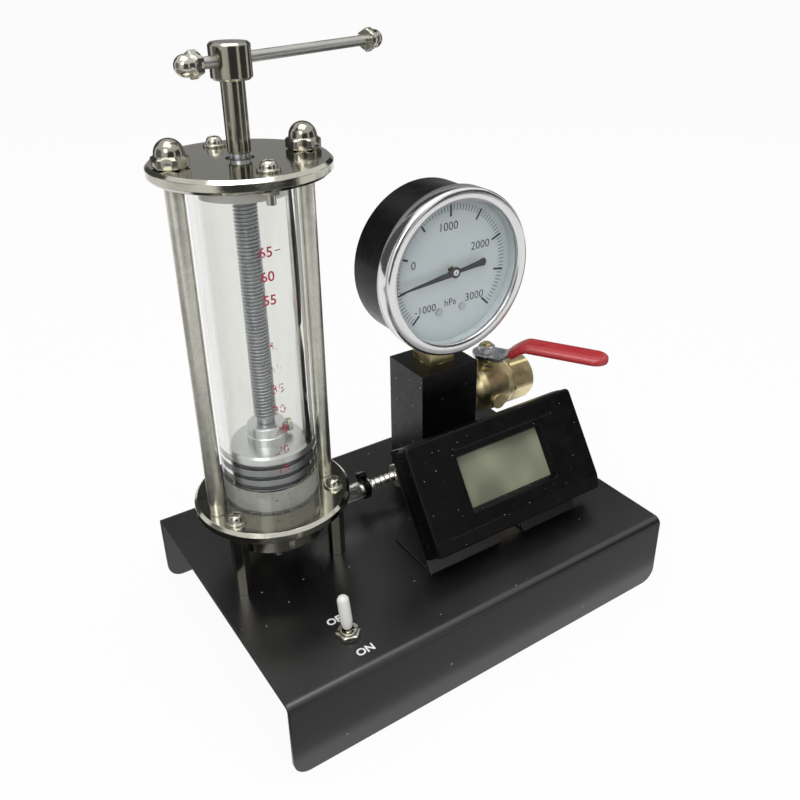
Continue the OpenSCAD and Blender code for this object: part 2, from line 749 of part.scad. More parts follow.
module spindle_head() {
    color([0.8, 0.79, 0.76]) at_tower() difference() {
        translate([0, 0, head_lo]) chamfered_disc(head_r, head_h, 0.7);
        translate([0, 0, head_lo - cut]) cylinder(r = spigot_r + thread_gap, h = spigot_h + cut + 0.1);
        at_bar() cylinder(r = bar_hole_r, h = 2 * head_r + 2 * cut, center = true);
    }
}
module tommy_bar() {
    color([0.78, 0.75, 0.68]) at_tower() at_bar() translate([0, 0, -bar_left - bar_end])
        cylinder(r = bar_r, h = bar_left + bar_right + 2 * bar_end);
}
module bar_nuts() {
    color([0.82, 0.8, 0.76]) at_tower() at_bar() {
        translate([0, 0, bar_right]) acorn_nut(m4_af, m4_nut_h, 3.2, 1.28, bar_r + thread_gap, bar_end + 0.1);
        translate([0, 0, -bar_left]) mirror([0, 0, 1])
            acorn_nut(m4_af, m4_nut_h, 3.2, 1.28, bar_r + thread_gap, bar_end + 0.1);
    }
}

// ---------- hose ----------
module hose() {
    color([0.85, 0.87, 0.87, 0.5]) along_x(hose_lo_x, hose_y, hose_z)
        ring(hose_r, hose_bore_r, hose_hi_x - hose_lo_x);
}
module cable_tie(x, turn) {
    along_x(x, hose_y, hose_z) rotate([0, 0, turn]) {
        ring(hose_r + 1, hose_r + 0.02, 2.6);
        translate([-hose_r - 3.3, -2, -0.4]) cube([2.6, 4, 3.4]);
    }
}
module cable_ties() {
    color([0.05, 0.05, 0.05]) {
        cable_tie(hose_hi_x - 4.4, -25);
        cable_tie(hose_lo_x + 3, 100);
    }
}

// ---------- manifold ----------
module manifold_block() {
    color([0.06, 0.06, 0.065]) difference() {
        translate([block_x - block_w / 2, block_y - block_d / 2, base_h])
            cube([block_w, block_d, block_h]);
        translate([block_x, block_y, hose_z]) cylinder(r = duct_r, h = block_h);
        translate([block_x, block_y, block_hi - stem_thread_l - 0.5])
            cylinder(r = stem_thread_r + thread_gap, h = stem_thread_l + 0.5 + cut);
        along_x(block_l_side - cut, block_y, hose_z) cylinder(r = duct_r, h = block_w / 2 + cut);
        along_x(block_l_side - cut, block_y, hose_z) cylinder(r = port_r + thread_gap, h = 7.2 + cut);
        along_x(block_x, block_y, valve_z) cylinder(r = duct_r, h = block_w / 2 + cut);
        along_x(block_r_side - inlet_l - 0.2, block_y, valve_z)
            cylinder(r = inlet_r + thread_gap, h = inlet_l + 0.2 + cut);
        at_block_screws(base_h - cut) cylinder(r = m3_r + thread_gap, h = m3_grip + 0.5 + cut);
    }
}
module block_barb() {
    color([0.78, 0.77, 0.74]) difference() {
        union() {
            along_x(block_l_side - eps, block_y, hose_z) cylinder(r = port_r, h = 7 + eps);
            along_x(block_l_side - barb_hex_h, block_y, hose_z) hex(barb_hex_af, barb_hex_h);
            translate([block_l_side - barb_hex_h, block_y, hose_z]) rotate([0, -90, 0])
                barb(barb_out - barb_hex_h, 7);
        }
        along_x(block_l_side - 2 * barb_out, block_y, hose_z)
            cylinder(r = elbow_bore_r, h = 3 * barb_out);
    }
}

// ---------- ball valve ----------
module at_stem(z = 0) { translate([stem_x, block_y, z]) children(); }
module valve_body() {
    color([0.72, 0.6, 0.34]) difference() {
        union() {
            along_x(block_r_side - inlet_l, block_y, valve_z) cylinder(r = inlet_r, h = inlet_l + 1);
            along_x(block_r_side, block_y, valve_z) rotate_extrude() polygon([[0, 0], [8, 0],
                [8.6, 1], [8.6, 4], [10.2, 6.4], [body_r, 9], [body_r, stem_out + 5],
                [10.2, valve_out - end_l - 1], [10.2, valve_out - end_l], [0, valve_out - end_l]]);
            at_stem(valve_z) cylinder(r = valve_neck_r, h = valve_neck_hi - valve_z);
            translate([stem_x - 1, block_y - body_r - 0.6, valve_z - 3]) rotate([-90, 0, 0])
                cylinder(r = 3.4, h = 4);
        }
        along_x(block_r_side - inlet_l - cut, block_y, valve_z) cylinder(r = valve_bore_r, h = valve_out);
        along_x(stem_x - ball_r - seat_t + 1, block_y, valve_z)
            cylinder(r = cavity_r, h = valve_out);
        at_stem(valve_z) cylinder(r = stem_r + run_gap, h = 40);
    }
}
module valve_end() {
    plug_l = end_x - stem_x - ball_r - seat_t + 1;
    color([0.74, 0.62, 0.36]) difference() {
        union() {
            along_x(end_x, block_y, valve_z) intersection() {
                rotate([0, 0, 30]) hex(end_af, end_l);
                rotate_extrude() polygon([[0, 0], [end_af * 0.56, 0], [end_af * 0.56, end_l - 1.2],
                    [end_af * 0.49, end_l], [0, end_l]]);
            }
            along_x(end_x - plug_l, block_y, valve_z) cylinder(r = cavity_r - thread_gap, h = plug_l + eps);
        }
        along_x(end_x - plug_l - cut, block_y, valve_z) cylinder(r = valve_bore_r, h = 40);
        along_x(end_x + 2, block_y, valve_z) cylinder(r = outlet_r, h = end_l);
    }
}
module valve_ball() {
    color([0.8, 0.8, 0.8]) at_stem(valve_z) rotate([0, 0, lever_rest]) difference() {
        sphere(r = ball_r);
        rotate([0, 90, 0]) cylinder(d = ball_bore, h = 3 * ball_r, center = true);
        translate([-1 - run_gap, -2 * ball_r, ball_r - 1.8]) cube([2 + 2 * run_gap, 4 * ball_r, 4]);
    }
}
module valve_seats() {
    color([0.93, 0.93, 0.9]) at_stem(valve_z) difference() {
        for (s = [0, 180]) rotate([0, 0, s]) rotate([0, 90, 0])
            translate([0, 0, ball_r - 1 + 0.02]) cylinder(r = cavity_r - 0.05, h = seat_t - 0.04);
        sphere(r = ball_r + run_gap);
        rotate([0, 90, 0]) cylinder(r = valve_bore_r, h = 4 * ball_r, center = true);
    }
}
module valve_stem() {
    top = lever_foot_z + lever_t + lever_nut_h + 1;
    color([0.75, 0.66, 0.42]) at_stem() {
        translate([0, 0, valve_z + ball_r + 0.1])
            cylinder(r = stem_r, h = lever_foot_z - valve_z - ball_r - 0.1);
        translate([0, 0, lever_foot_z]) cylinder(r = stem_screw_r, h = top - lever_foot_z);
        rotate([0, 0, lever_rest]) translate([-1, -1.6, valve_z + ball_r - 1.7]) cube([2, 3.2, 2]);
    }
}
module gland_nut() {
    color([0.72, 0.6, 0.34]) at_stem(valve_neck_hi) difference() {
        hex(8, 2);
        translate([0, 0, -cut]) cylinder(r = stem_r + run_gap, h = 4);
    }
}
// Side outline of the lever's strip, r along it and z up, grown by g on both faces
function strip_outline(r0, r1, g) =
    let (slope = lever_lift / (lever_bend_b - lever_bend_a),
        rise = function(r) lever_foot_z + slope * (min(max(r, lever_bend_a), lever_bend_b) - lever_bend_a),
        rs = concat([r0], [for (r = [lever_bend_a, lever_bend_b]) if (r > r0) r], [r1]))
    concat([for (r = rs) [r, rise(r) - g]],
        [for (i = [len(rs) - 1 : -1 : 0]) [rs[i], rise(rs[i]) + lever_t + g]]);
module strip(r0, r1, w, g) {
    rotate([90, 0, 0]) linear_extrude(w, center = true) polygon(strip_outline(r0, r1, g));
}
module strip_plan(r0, r1, w) {
    translate([0, 0, lever_foot_z - 10]) linear_extrude(60) {
        translate([r0, -w / 2]) square([r1 - w / 2 - r0, w]);
        translate([r1 - w / 2, 0]) circle(w / 2);
    }
}
module valve_lever() {
    color([0.75, 0.75, 0.74]) at_stem() rotate([0, 0, lever_rest]) difference() {
        intersection() {
            strip(-6, lever_l - grip_wall, 12, 0);
            union() {
                strip_plan(0, lever_l - grip_wall, lever_steel_w);
                translate([0, 0, lever_foot_z - 10]) {
                    cylinder(r = 6, h = 14);
                    translate([0, -5.6, 0]) cube([9.5, 11.2, 60]);
                }
            }
        }
        translate([0, 0, lever_foot_z - cut]) cylinder(r = stem_screw_r + thread_gap, h = 4);
    }
}
module lever_grip() {
    color([0.82, 0.08, 0.1]) at_stem() rotate([0, 0, lever_rest]) difference() {
        intersection() {
            strip(grip_start, lever_l, grip_w, grip_wall);
            strip_plan(0, lever_l, grip_w);
        }
        intersection() {
            strip(grip_start - cut, lever_l - grip_wall, 12, 0.01);
            strip_plan(0, lever_l - grip_wall + 0.01, lever_steel_w + 0.02);
        }
    }
}
module lever_nut() {
    color([0.75, 0.74, 0.7]) at_stem(lever_foot_z + lever_t) difference() {
        hex(lever_nut_af, lever_nut_h);
        translate([0, 0, -cut]) cylinder(r = stem_screw_r + thread_gap, h = lever_nut_h + 2 * cut);
    }
}

// ---------- gauge ----------
module gauge_stem() {
    half = stem_af / 2;
    color([0.72, 0.6, 0.34]) translate([block_x, block_y, 0]) difference() {
        union() {
            translate([0, 0, block_hi - stem_thread_l]) cylinder(r = stem_thread_r, h = stem_thread_l + eps);
            translate([-half, -half, block_hi]) cube([stem_af, stem_af, gauge_z - case_r + 3 - block_hi]);
            translate([-socket_w / 2, -half, gauge_z - case_r + 2])
                cube([socket_w, stem_af, socket_hi - gauge_z + case_r - 2]);
        }
        translate([0, 0, block_hi - stem_thread_l - cut])
            cylinder(r = 1.5, h = gauge_z - coil_r - block_hi + stem_thread_l + cut);
        along_x(0, coil_y - block_y, gauge_z - coil_r) cylinder(r = 1.5, h = 20);
        along_x(0, coil_y - block_y, gauge_z - coil_r) cylinder(r = coil_end_r + run_gap, h = 20);
        for (z = movement_screw_zs) translate([0, -half - cut, gauge_z + z]) rotate([-90, 0, 0])
            cylinder(r = small_screw_r + thread_gap, h = small_screw_grip + 0.5 + cut);
    }
}
module gauge_case() {
    inner = case_r - case_wall;
    color([0.05, 0.05, 0.055]) difference() {
        at_gauge(gauge_back) rotate_extrude() polygon([[0, 0], [case_r - 1, 0], [case_r, 1],
            [case_r, gauge_back - case_front], [inner, gauge_back - case_front], [inner, case_wall],
            [0, case_wall]]);
        translate([block_x - stem_af / 2 - 0.1, block_y - stem_af / 2 - 0.1, block_hi])
            cube([stem_af + 0.2, stem_af + 0.2, gauge_rise - 12]);
    }
}
module gauge_bezel() {
    color([0.85, 0.85, 0.86]) at_gauge(gauge_y) mirror([0, 0, 1]) rotate_extrude()
        polygon([[window_r, 0.5], [window_r + 0.5, 0], [bezel_r - 1, 0], [bezel_r, 1], [bezel_r, bezel_depth],
            [case_r + 0.05, bezel_depth], [case_r + 0.05, bezel_lip + window_t],
            [dial_r + 0.6, bezel_lip + window_t], [dial_r + 0.6, bezel_lip], [window_r, bezel_lip]]);
}
module gauge_window() {
    color([0.9, 0.93, 0.95, 0.25]) at_gauge(gauge_y + bezel_lip + window_t)
        cylinder(r = dial_r + 0.5, h = window_t);
}
module gauge_dial() {
    color([0.93, 0.95, 0.97]) at_gauge(dial_y + dial_t) difference() {
        cylinder(r = dial_r, h = dial_t);
        translate([0, 0, -cut]) cylinder(r = 1.6, h = dial_t + 2 * cut);
        for (x = dial_screw_xs) translate([x, dial_screw_z, -cut])
            cylinder(r = small_screw_r + thread_gap, h = dial_t + 2 * cut);
    }
}
module small_screw(x, y, z, l) {
    translate([gauge_x + x, y, gauge_z + z]) rotate([-90, 0, 0]) {
        translate([0, 0, -0.6]) cylinder(r = 2 * small_screw_r, h = 0.6);
        translate([0, 0, -eps]) cylinder(r = small_screw_r, h = l + eps);
    }
}
module gauge_screws() {
    color([0.7, 0.7, 0.7]) {
        for (x = dial_screw_xs)
            small_screw(x, dial_y, dial_screw_z, movement_front - dial_y + movement_t - 0.2);
        for (z = movement_screw_zs)
            small_screw(0, movement_front, z, movement_gap + 2 * movement_t + small_screw_grip);
    }
}
// C-shaped tube from the socket, anticlockwise as seen from the front
module bourdon_tube() {
    color([0.75, 0.62, 0.38]) {
        at_gauge(coil_y) rotate([0, 0, coil_start]) rotate_extrude(angle = coil_sweep)
            translate([coil_r, 0]) circle(coil_tube_r);
        at_gauge(coil_y) rotate([0, 0, coil_start + coil_sweep]) translate([coil_r, 0, 0])
            rotate([-90, 0, 0]) translate([0, 0, -0.3]) cylinder(r = coil_end_r, h = coil_tip_l);
        along_x(gauge_x + socket_w / 2 - coil_tip_l, coil_y, gauge_z - coil_r)
            cylinder(r = coil_end_r, h = coil_tip_l + coil_inlet);
    }
}
module movement_plate() {
    pivot = sector_arm * [cos(sector_turn), sin(sector_turn)];
    difference() {
        union() {
            circle(hub_plate_r);
            translate([-foot_w / 2, foot_lo]) square([foot_w, dial_screw_z + 1 - foot_lo]);
            translate([-web_w / 2, dial_screw_z]) square([web_w, -dial_screw_z]);
            translate(pivot) circle(pivot_eye_r);
            translate([pivot[0], pivot[1] - pivot_eye_r]) square([-pivot[0], 2 * pivot_eye_r]);
        }
        circle(arbor_r + run_gap);
        translate(pivot) circle(arbor_r + run_gap);
        for (x = dial_screw_xs) translate([x, dial_screw_z]) circle(small_screw_r + thread_gap);
    }
}
module gauge_movement() {
    color([0.75, 0.62, 0.36]) difference() {
        union() {
            at_gauge(movement_front + movement_t) linear_extrude(movement_t) movement_plate();
            at_gauge(movement_back + movement_t) linear_extrude(movement_t) movement_plate();
            for (x = [-1, 1]) at_gauge(movement_back) translate([x * pillar_x, pillar_z, 0])
                cylinder(r = pillar_r, h = movement_gap);
        }
        for (z = movement_screw_zs) at_gauge(movement_back + 3) translate([0, z, 0])
            cylinder(r = small_screw_r + screw_gap, h = 12);
    }
}
module tooth(r) {
    p = gear_module * PI;
    polygon([[r - 0.7 * gear_module, -0.26 * p], [r - 0.7 * gear_module, 0.26 * p],
        [r + 0.5 * gear_module, 0.12 * p], [r + 0.5 * gear_module, -0.12 * p]]);
}
module sector_gear() {
    pitch_turn = 360 / (pinion_teeth * gear_ratio);
    root = sector_r - 0.6 * gear_module;
    color([0.8, 0.68, 0.4]) at_gauge(movement_front + movement_t + (movement_gap + gear_t) / 2)
        rotate([0, 0, sector_turn]) translate([sector_arm, 0, 0]) rotate([0, 0, 180]) {
            linear_extrude(gear_t) {
                intersection() {
                    difference() { circle(root); circle(root - sector_rim); }
                    polygon([[0, 0], [20 * cos(10), 20 * sin(10)], [22, -4], [20 * cos(34), -20 * sin(34)]]);
                }
                for (i = [-8 : 2]) rotate([0, 0, i * pitch_turn]) tooth(sector_r);
                rotate([0, 0, -12]) translate([0, -1.6]) square([root - 1, 3.2]);
                circle(sector_hub_r);
                rotate([0, 0, 150]) translate([0, -1.2]) square([5, 2.4]);
            }
            translate([0, 0, (gear_t - movement_gap) / 2 - movement_t])
                cylinder(r = arbor_r, h = movement_gap + 2 * movement_t);
        }
}
module pinion_arbor() {
    pitch_turn = 360 / pinion_teeth;
    color([0.7, 0.7, 0.72]) {
        at_gauge(movement_front + movement_t + (movement_gap + gear_t) / 2)
            linear_extrude(gear_t) {
                circle(pinion_r - 0.6 * gear_module);
                for (i = [0 : pinion_teeth - 1]) rotate([0, 0, sector_turn + (i + 0.5) * pitch_turn])
                    tooth(pinion_r);
            }
        at_gauge(movement_back + movement_t)
            cylinder(r = arbor_r, h = movement_back + movement_t - pointer_y);
    }
}
module gauge_pointer() {
    color([0.12, 0.12, 0.13]) at_gauge(pointer_y + pointer_t) rotate([0, 0, pointer_rest]) difference() {
        union() {
            linear_extrude(pointer_t) {
                polygon([[0, -1.3], [pointer_l, -0.25], [pointer_l, 0.25], [0, 1.3]]);
                polygon([[0, -1.1], [-pointer_tail, -tail_r], [-pointer_tail, tail_r], [0, 1.1]]);
                translate([-pointer_tail, 0]) circle(tail_r);
            }
            cylinder(r = pointer_hub_r, h = pointer_t + 0.3);
        }
        translate([0, 0, -cut]) cylinder(r = arbor_r + thread_gap, h = cut + pointer_t + eps);
    }
}

// ---------- thermometer ----------
module at_thermo() { translate([thermo_x, thermo_y, thermo_z]) rotate([90 - thermo_lean, 0, 0]) children(); }
module thermo_front() {
    color([0.05, 0.05, 0.055]) at_thermo() difference() {
        rotate([90, 0, 90]) linear_extrude(thermo_w) polygon([[0, -front_depth], [thermo_h, -front_depth],
            [thermo_h, -edge_c], [thermo_h - edge_c, 0], [strip_h, 0], [edge_c, -1], [0, -1 - edge_c]]);
        translate([shell_wall, shell_wall, -front_depth - cut])
            cube([thermo_w - 2 * shell_wall, thermo_h - 2 * shell_wall, front_depth - face_t - 1 + cut]);
        translate([lcd_x - 1, lcd_y - 1, -face_t - 2]) cube([lcd_w + 2, lcd_h + 2, face_t + 3]);
    }
}
module thermo_back() {
    back_depth = thermo_t - front_depth;
    color([0.05, 0.05, 0.055]) at_thermo() translate([0, 0, -thermo_t]) difference() {
        cube([thermo_w, thermo_h, back_depth]);
        translate([shell_wall, shell_wall, shell_wall])
            cube([thermo_w - 2 * shell_wall, thermo_h - 2 * shell_wall, back_depth]);
    }
}
module lcd_panel() {
    color([0.62, 0.65, 0.58]) at_thermo()
        translate([lcd_x - lcd_border, lcd_y - lcd_border, -face_t - 1 - lcd_t])
        cube([lcd_w + 2 * lcd_border, lcd_h + 2 * lcd_border, lcd_t]);
}
module circuit_board() {
    color([0.1, 0.35, 0.2]) at_thermo() translate([board_inset, board_inset, board_z])
        cube([thermo_w - 2 * board_inset, thermo_h - 2 * board_inset, board_t]);
}
module button_cells() {
    color([0.8, 0.8, 0.8]) at_thermo() for (x = [0.4, 0.6])
        translate([x * thermo_w, thermo_h / 2, board_z - cell_h]) cylinder(r = cell_r, h = cell_h);
}
module thermo_stand() {
    up = [sin(thermo_lean), cos(thermo_lean)];
    out = [cos(thermo_lean), -sin(thermo_lean)];
    back = [thermo_y, thermo_z] + out * thermo_t;
    behind = back + out * stand_t;
    toe = back - up * ((back[1] - base_h) / up[1]);
    heel = behind - up * ((behind[1] - base_h - stand_t) / up[1]);
    color([0.05, 0.05, 0.055]) difference() {
        translate([thermo_x, 0, 0]) rotate([90, 0, 90]) linear_extrude(stand_w)
            polygon([toe, back + up * stand_h, behind + up * stand_h, heel,
                [stand_y1, base_h + stand_t], [stand_y1, base_h]]);
        translate([thermo_x + stand_w * 0.46, toe[0] - cut, base_h - cut])
            cube([stand_w * 0.16, 8, 9]);
        for (x = stand_screw_xs) translate([x, stand_screw_y, base_h - cut])
            cylinder(r = m3_r + thread_gap, h = stand_t + 2 * cut);
    }
}

base_cover();
base_screws();
switch_body();
switch_nut();
switch_lever();
switch_cap();
standoffs();
plate_screws();
bottom_plate();
gas_boss();
flush_screws();
plate_gaskets();
boss_elbow();
probe_gland();
temperature_probe();
cylinder_tube();
top_plate();
thread_bush();
plate_bolts();
bolt_nuts();
tie_rods();
acorn_nuts();
piston();
piston_rings();
piston_hub();
hub_screw();
spindle();
spindle_head();
tommy_bar();
bar_nuts();
hose();
cable_ties();
manifold_block();
block_barb();
valve_body();
valve_end();
valve_ball();
valve_seats();
valve_stem();
gland_nut();
valve_lever();
lever_grip();
lever_nut();
gauge_stem();
gauge_case();
gauge_bezel();
gauge_window();
gauge_dial();
gauge_screws();
bourdon_tube();
gauge_movement();
sector_gear();
pinion_arbor();
gauge_pointer();
thermo_front();
thermo_back();
lcd_panel();
circuit_board();
button_cells();
thermo_stand();
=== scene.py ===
import json
import logging
import math
from dataclasses import dataclass
from enum import Enum
from typing import Optional, Sequence, Tuple, Union

import bmesh
import bpy
import numpy as np
from mathutils import Matrix

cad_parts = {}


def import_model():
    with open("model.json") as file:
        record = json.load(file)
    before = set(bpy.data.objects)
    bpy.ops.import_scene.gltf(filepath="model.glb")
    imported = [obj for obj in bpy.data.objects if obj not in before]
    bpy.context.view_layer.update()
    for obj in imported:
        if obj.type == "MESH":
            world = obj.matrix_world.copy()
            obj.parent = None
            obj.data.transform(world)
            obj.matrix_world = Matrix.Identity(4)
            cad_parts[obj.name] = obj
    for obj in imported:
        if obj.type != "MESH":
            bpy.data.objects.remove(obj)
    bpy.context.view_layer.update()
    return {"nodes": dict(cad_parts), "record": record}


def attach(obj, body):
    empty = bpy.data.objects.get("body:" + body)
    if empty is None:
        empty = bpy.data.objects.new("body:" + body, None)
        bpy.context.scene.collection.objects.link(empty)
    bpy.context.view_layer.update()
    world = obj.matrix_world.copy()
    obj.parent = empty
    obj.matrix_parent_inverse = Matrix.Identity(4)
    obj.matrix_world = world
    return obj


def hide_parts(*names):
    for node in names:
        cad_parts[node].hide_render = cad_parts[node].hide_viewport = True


Rgb = Tuple[float, float, float]
Vec = Tuple[float, float, float]
Points = np.ndarray
Value = Union[float, Sequence[float], bpy.types.NodeSocket]

MM = 0.001
HEX_CORNER = 0.57735    # a hexagon's corner radius over its width across flats
CAPITAL = 0.72          # a capital's height over the font's size
LOG = logging.getLogger("gas_law_bench")


# ---------- places ----------

@dataclass(frozen=True)
class Place:
    """A local frame in millimetres: its origin and the directions of its x, y and z."""
    origin: Vec
    x: Vec = (1.0, 0.0, 0.0)
    y: Vec = (0.0, 1.0, 0.0)
    z: Vec = (0.0, 0.0, 1.0)

    def put(self, points: Points) -> Points:
        """Carries local points of shape (n, 3) into the part's frame."""
        axes = np.array([self.x, self.y, self.z], dtype=float)
        return np.asarray(points, dtype=float) @ axes + np.array(self.origin, dtype=float)


@dataclass(frozen=True)
class Rolled:
    """A place on the tube's curve: x becomes arc length, y height and z depth."""
    turn: float
    height: float
    radius: float = 17.56

    def put(self, points: Points) -> Points:
        """Rolls flat points round the tube."""
        a = np.radians(self.turn) + points[:, 0] / self.radius
        r = self.radius + points[:, 2]
        return TOWER.put(np.column_stack([r * np.cos(a), r * np.sin(a), self.height + points[:, 1]]))


Putter = Union[Place, Rolled]


def upright(x: float, y: float, z: float = 0.0) -> Place:
    """Returns a place whose axes are the part's own."""
    return Place((x, y, z))


def along(origin: Vec, z: Vec, hint: Vec = (0.0, 0.0, 1.0)) -> Place:
    """Makes a place whose z runs along a given direction.

    Args:
        origin: Where the place starts, in millimetres.
        z: The direction of its z.
        hint: A direction that its y leans towards.

    Returns:
        The place, right-handed and of unit axes.
    """
    z_axis = np.array(z, dtype=float) / np.linalg.norm(z)
    x_axis = np.cross(np.array(hint, dtype=float), z_axis)
    x_axis /= np.linalg.norm(x_axis)
    y_axis = np.cross(z_axis, x_axis)
    return Place(origin, tuple(x_axis), tuple(y_axis), tuple(z_axis))


TOWER = upright(-54.9, 9.9)
DIAL_AXIS = (23.85, 134.8)
STEM = (52.0, 16.3)
SWITCH = (-54.2, -42.8)
DECK = 31.7
THERMO = Place((-12.8, -40.4, 43.0), (1.0, 0.0, 0.0), (0.0, 0.55484, 0.83195), (0.0, -0.83195, 0.55484))


def facing_front(y: float) -> Place:
    """Returns the gauge's front view as a place: x right, y up and z towards the viewer."""
    return Place((DIAL_AXIS[0], y, DIAL_AXIS[1]), (1.0, 0.0, 0.0), (0.0, 0.0, 1.0), (0.0, -1.0, 0.0))


# ---------- surfaces ----------

def grid_faces(rows: int, cols: int, close_rows: bool = False, close_cols: bool = True) -> np.ndarray:
    """Lists the quads of a grid of points.

    Args:
        rows: Number of rows of points.
        cols: Number of points in a row.
        close_rows: Whether the last row joins the first.
        close_cols: Whether each row is a closed loop.

    Returns:
        An array of shape (n, 4) of point numbers.
    """
    i, j = np.meshgrid(np.arange(rows if close_rows else rows - 1),
                       np.arange(cols if close_cols else cols - 1), indexing="ij")
    i2, j2 = (i + 1) % rows, (j + 1) % cols
    return np.stack([i * cols + j, i * cols + j2, i2 * cols + j2, i2 * cols + j], axis=-1).reshape(-1, 4)


def make_piece(name: str, points: Points, faces: Sequence[Sequence[int]], finish: "Finish", body: str,
               instead_of: Sequence[str] = (), sharp: float = 32.0,
               mend: bool = True) -> bpy.types.Object:
    """Turns points in millimetres and faces into a finished piece that rides on a body.

    Args:
        name: The piece's name.
        points: Its points in the part's frame, in millimetres.
        faces: Lists of point numbers.
        finish: The finish that it takes.
        body: The body that carries it.
        instead_of: CAD nodes that it stands for.
        sharp: Edges that turn by more than this many degrees stay sharp.
        mend: Whether doubles are merged and faces turned outwards.

    Returns:
        The object, at the origin, with its place in its mesh.
    """
    mesh = bpy.data.meshes.new(name)
    mesh.from_pydata((np.asarray(points) * MM).tolist(), [], [list(map(int, f)) for f in faces])
    if mend:
        bm = bmesh.new()
        bm.from_mesh(mesh)
        bmesh.ops.remove_doubles(bm, verts=bm.verts, dist=2e-6)
        bmesh.ops.recalc_face_normals(bm, faces=bm.faces)
        bm.to_mesh(mesh)
        bm.free()
    mesh.polygons.foreach_set("use_smooth", np.ones(len(mesh.polygons), dtype=bool))
    mesh.set_sharp_from_angle(angle=math.radians(sharp))
    mesh.materials.append(finish.material())
    piece = bpy.data.objects.new(name, mesh)
    bpy.context.scene.collection.objects.link(piece)
    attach(piece, body)
    if instead_of:
        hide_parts(*instead_of)
    LOG.info("piece %s: %d faces on %s", name, len(mesh.polygons), body)
    return piece


class Shapes:
    """Collects several surfaces into the points and faces of one piece."""

    def __init__(self) -> None:
        """Starts with nothing."""
        self.points: list = []
        self.faces: list = []
        self.count = 0

    def add(self, points: Points, faces: Union[np.ndarray, list], place: "Putter") -> None:
        """Adds one surface, carried to its place."""
        self.points.append(place.put(points))
        if isinstance(faces, np.ndarray):
            self.faces += (faces + self.count).tolist()
        else:
            self.faces += [[i + self.count for i in face] for face in faces]
        self.count += len(points)

    def piece(self, name: str, finish: "Finish", body: str, slot: str, instead_of: Sequence[str] = (),
              sharp: float = 32.0, mend: bool = True) -> bpy.types.Object:
        """Makes one piece of all that was added."""
        points = np.vstack(self.points)
        return make_piece(name, points, self.faces, finish, body, instead_of, sharp, mend)


def lathe(profile: Sequence[Tuple[float, float]], cols: int = 64,
          ring: bool = False) -> Tuple[Points, np.ndarray]:
    """Turns a profile round z.

    The point at row i and angle a is (r_i cos a, r_i sin a, z_i).

    Args:
        profile: Pairs of radius and height, in millimetres.
        cols: Points in a turn.
        ring: Whether the profile is a closed loop, as for a ring.

    Returns:
        The points and the quads.
    """
    r, z = np.array(profile, dtype=float).T
    a = np.linspace(0.0, 2.0 * np.pi, cols, endpoint=False)
    points = np.stack([np.outer(r, np.cos(a)), np.outer(r, np.sin(a)),
                       np.repeat(z[:, None], cols, axis=1)], axis=-1).reshape(-1, 3)
    return points, grid_faces(len(r), cols, close_rows=ring)


def hex_lathe(profile: Sequence[Tuple[float, float]], flats: float, cols: int = 96,
              ring: bool = False, turn: float = 0.0) -> Tuple[Points, np.ndarray]:
    """Turns a profile and cuts it to a hexagon, as a chamfered nut is made.

    The radius at angle a is the smaller of the profile's radius and of half the width over flats
    divided by the cosine of the angle from the nearest flat's middle.

    Args:
        profile: Pairs of radius and height.
        flats: Width over the flats.
        cols: Points in a turn, a multiple of 6.
        ring: Whether the profile is a closed loop.
        turn: Turn of the hexagon in degrees.

    Returns:
        The points and the quads.
    """
    r, z = np.array(profile, dtype=float).T
    a = np.linspace(0.0, 2.0 * np.pi, cols, endpoint=False)
    off = (a + np.pi / 6.0) % (np.pi / 3.0) - np.pi / 6.0
    limit = flats / 2.0 / np.cos(off)
    radius = np.minimum(r[:, None], limit[None, :])
    b = a + np.radians(turn)
    points = np.stack([radius * np.cos(b), radius * np.sin(b),
                       np.repeat(z[:, None], cols, axis=1)], axis=-1).reshape(-1, 3)
    return points, grid_faces(len(r), cols, close_rows=ring)


def arc(centre: Tuple[float, float], radius: float, start: float, end: float,
        steps: int = 6) -> list:
    """Lists points of an arc in a profile, angles in degrees."""
    turns = np.radians(np.linspace(start, end, steps + 1))
    return list(zip(centre[0] + radius * np.cos(turns), centre[1] + radius * np.sin(turns)))


def smoothstep(x: np.ndarray) -> np.ndarray:
    """Rises from 0 to 1 as x does, flat at both ends: three squares less two cubes of x."""
    t = np.clip(x, 0.0, 1.0)
    return t * t * (3.0 - 2.0 * t)


def plate(outline: Points, low: float, high: float) -> Tuple[Points, list]:
    """Makes a flat plate of an outline given anticlockwise, between two heights.

    Args:
        outline: Points (n, 2) of its edge.
        low: Height of its lower face.
        high: Height of its upper face.

    Returns:
        The points, and its faces as lists.
    """
    n = len(outline)
    base = np.column_stack([outline, np.full(n, low)])
    top = np.column_stack([outline, np.full(n, high)])
    i = np.arange(n)
    sides = np.stack([i, (i + 1) % n, (i + 1) % n + n, i + n], axis=-1).tolist()
    return np.vstack([base, top]), sides + [i[::-1].tolist(), (i + n).tolist()]


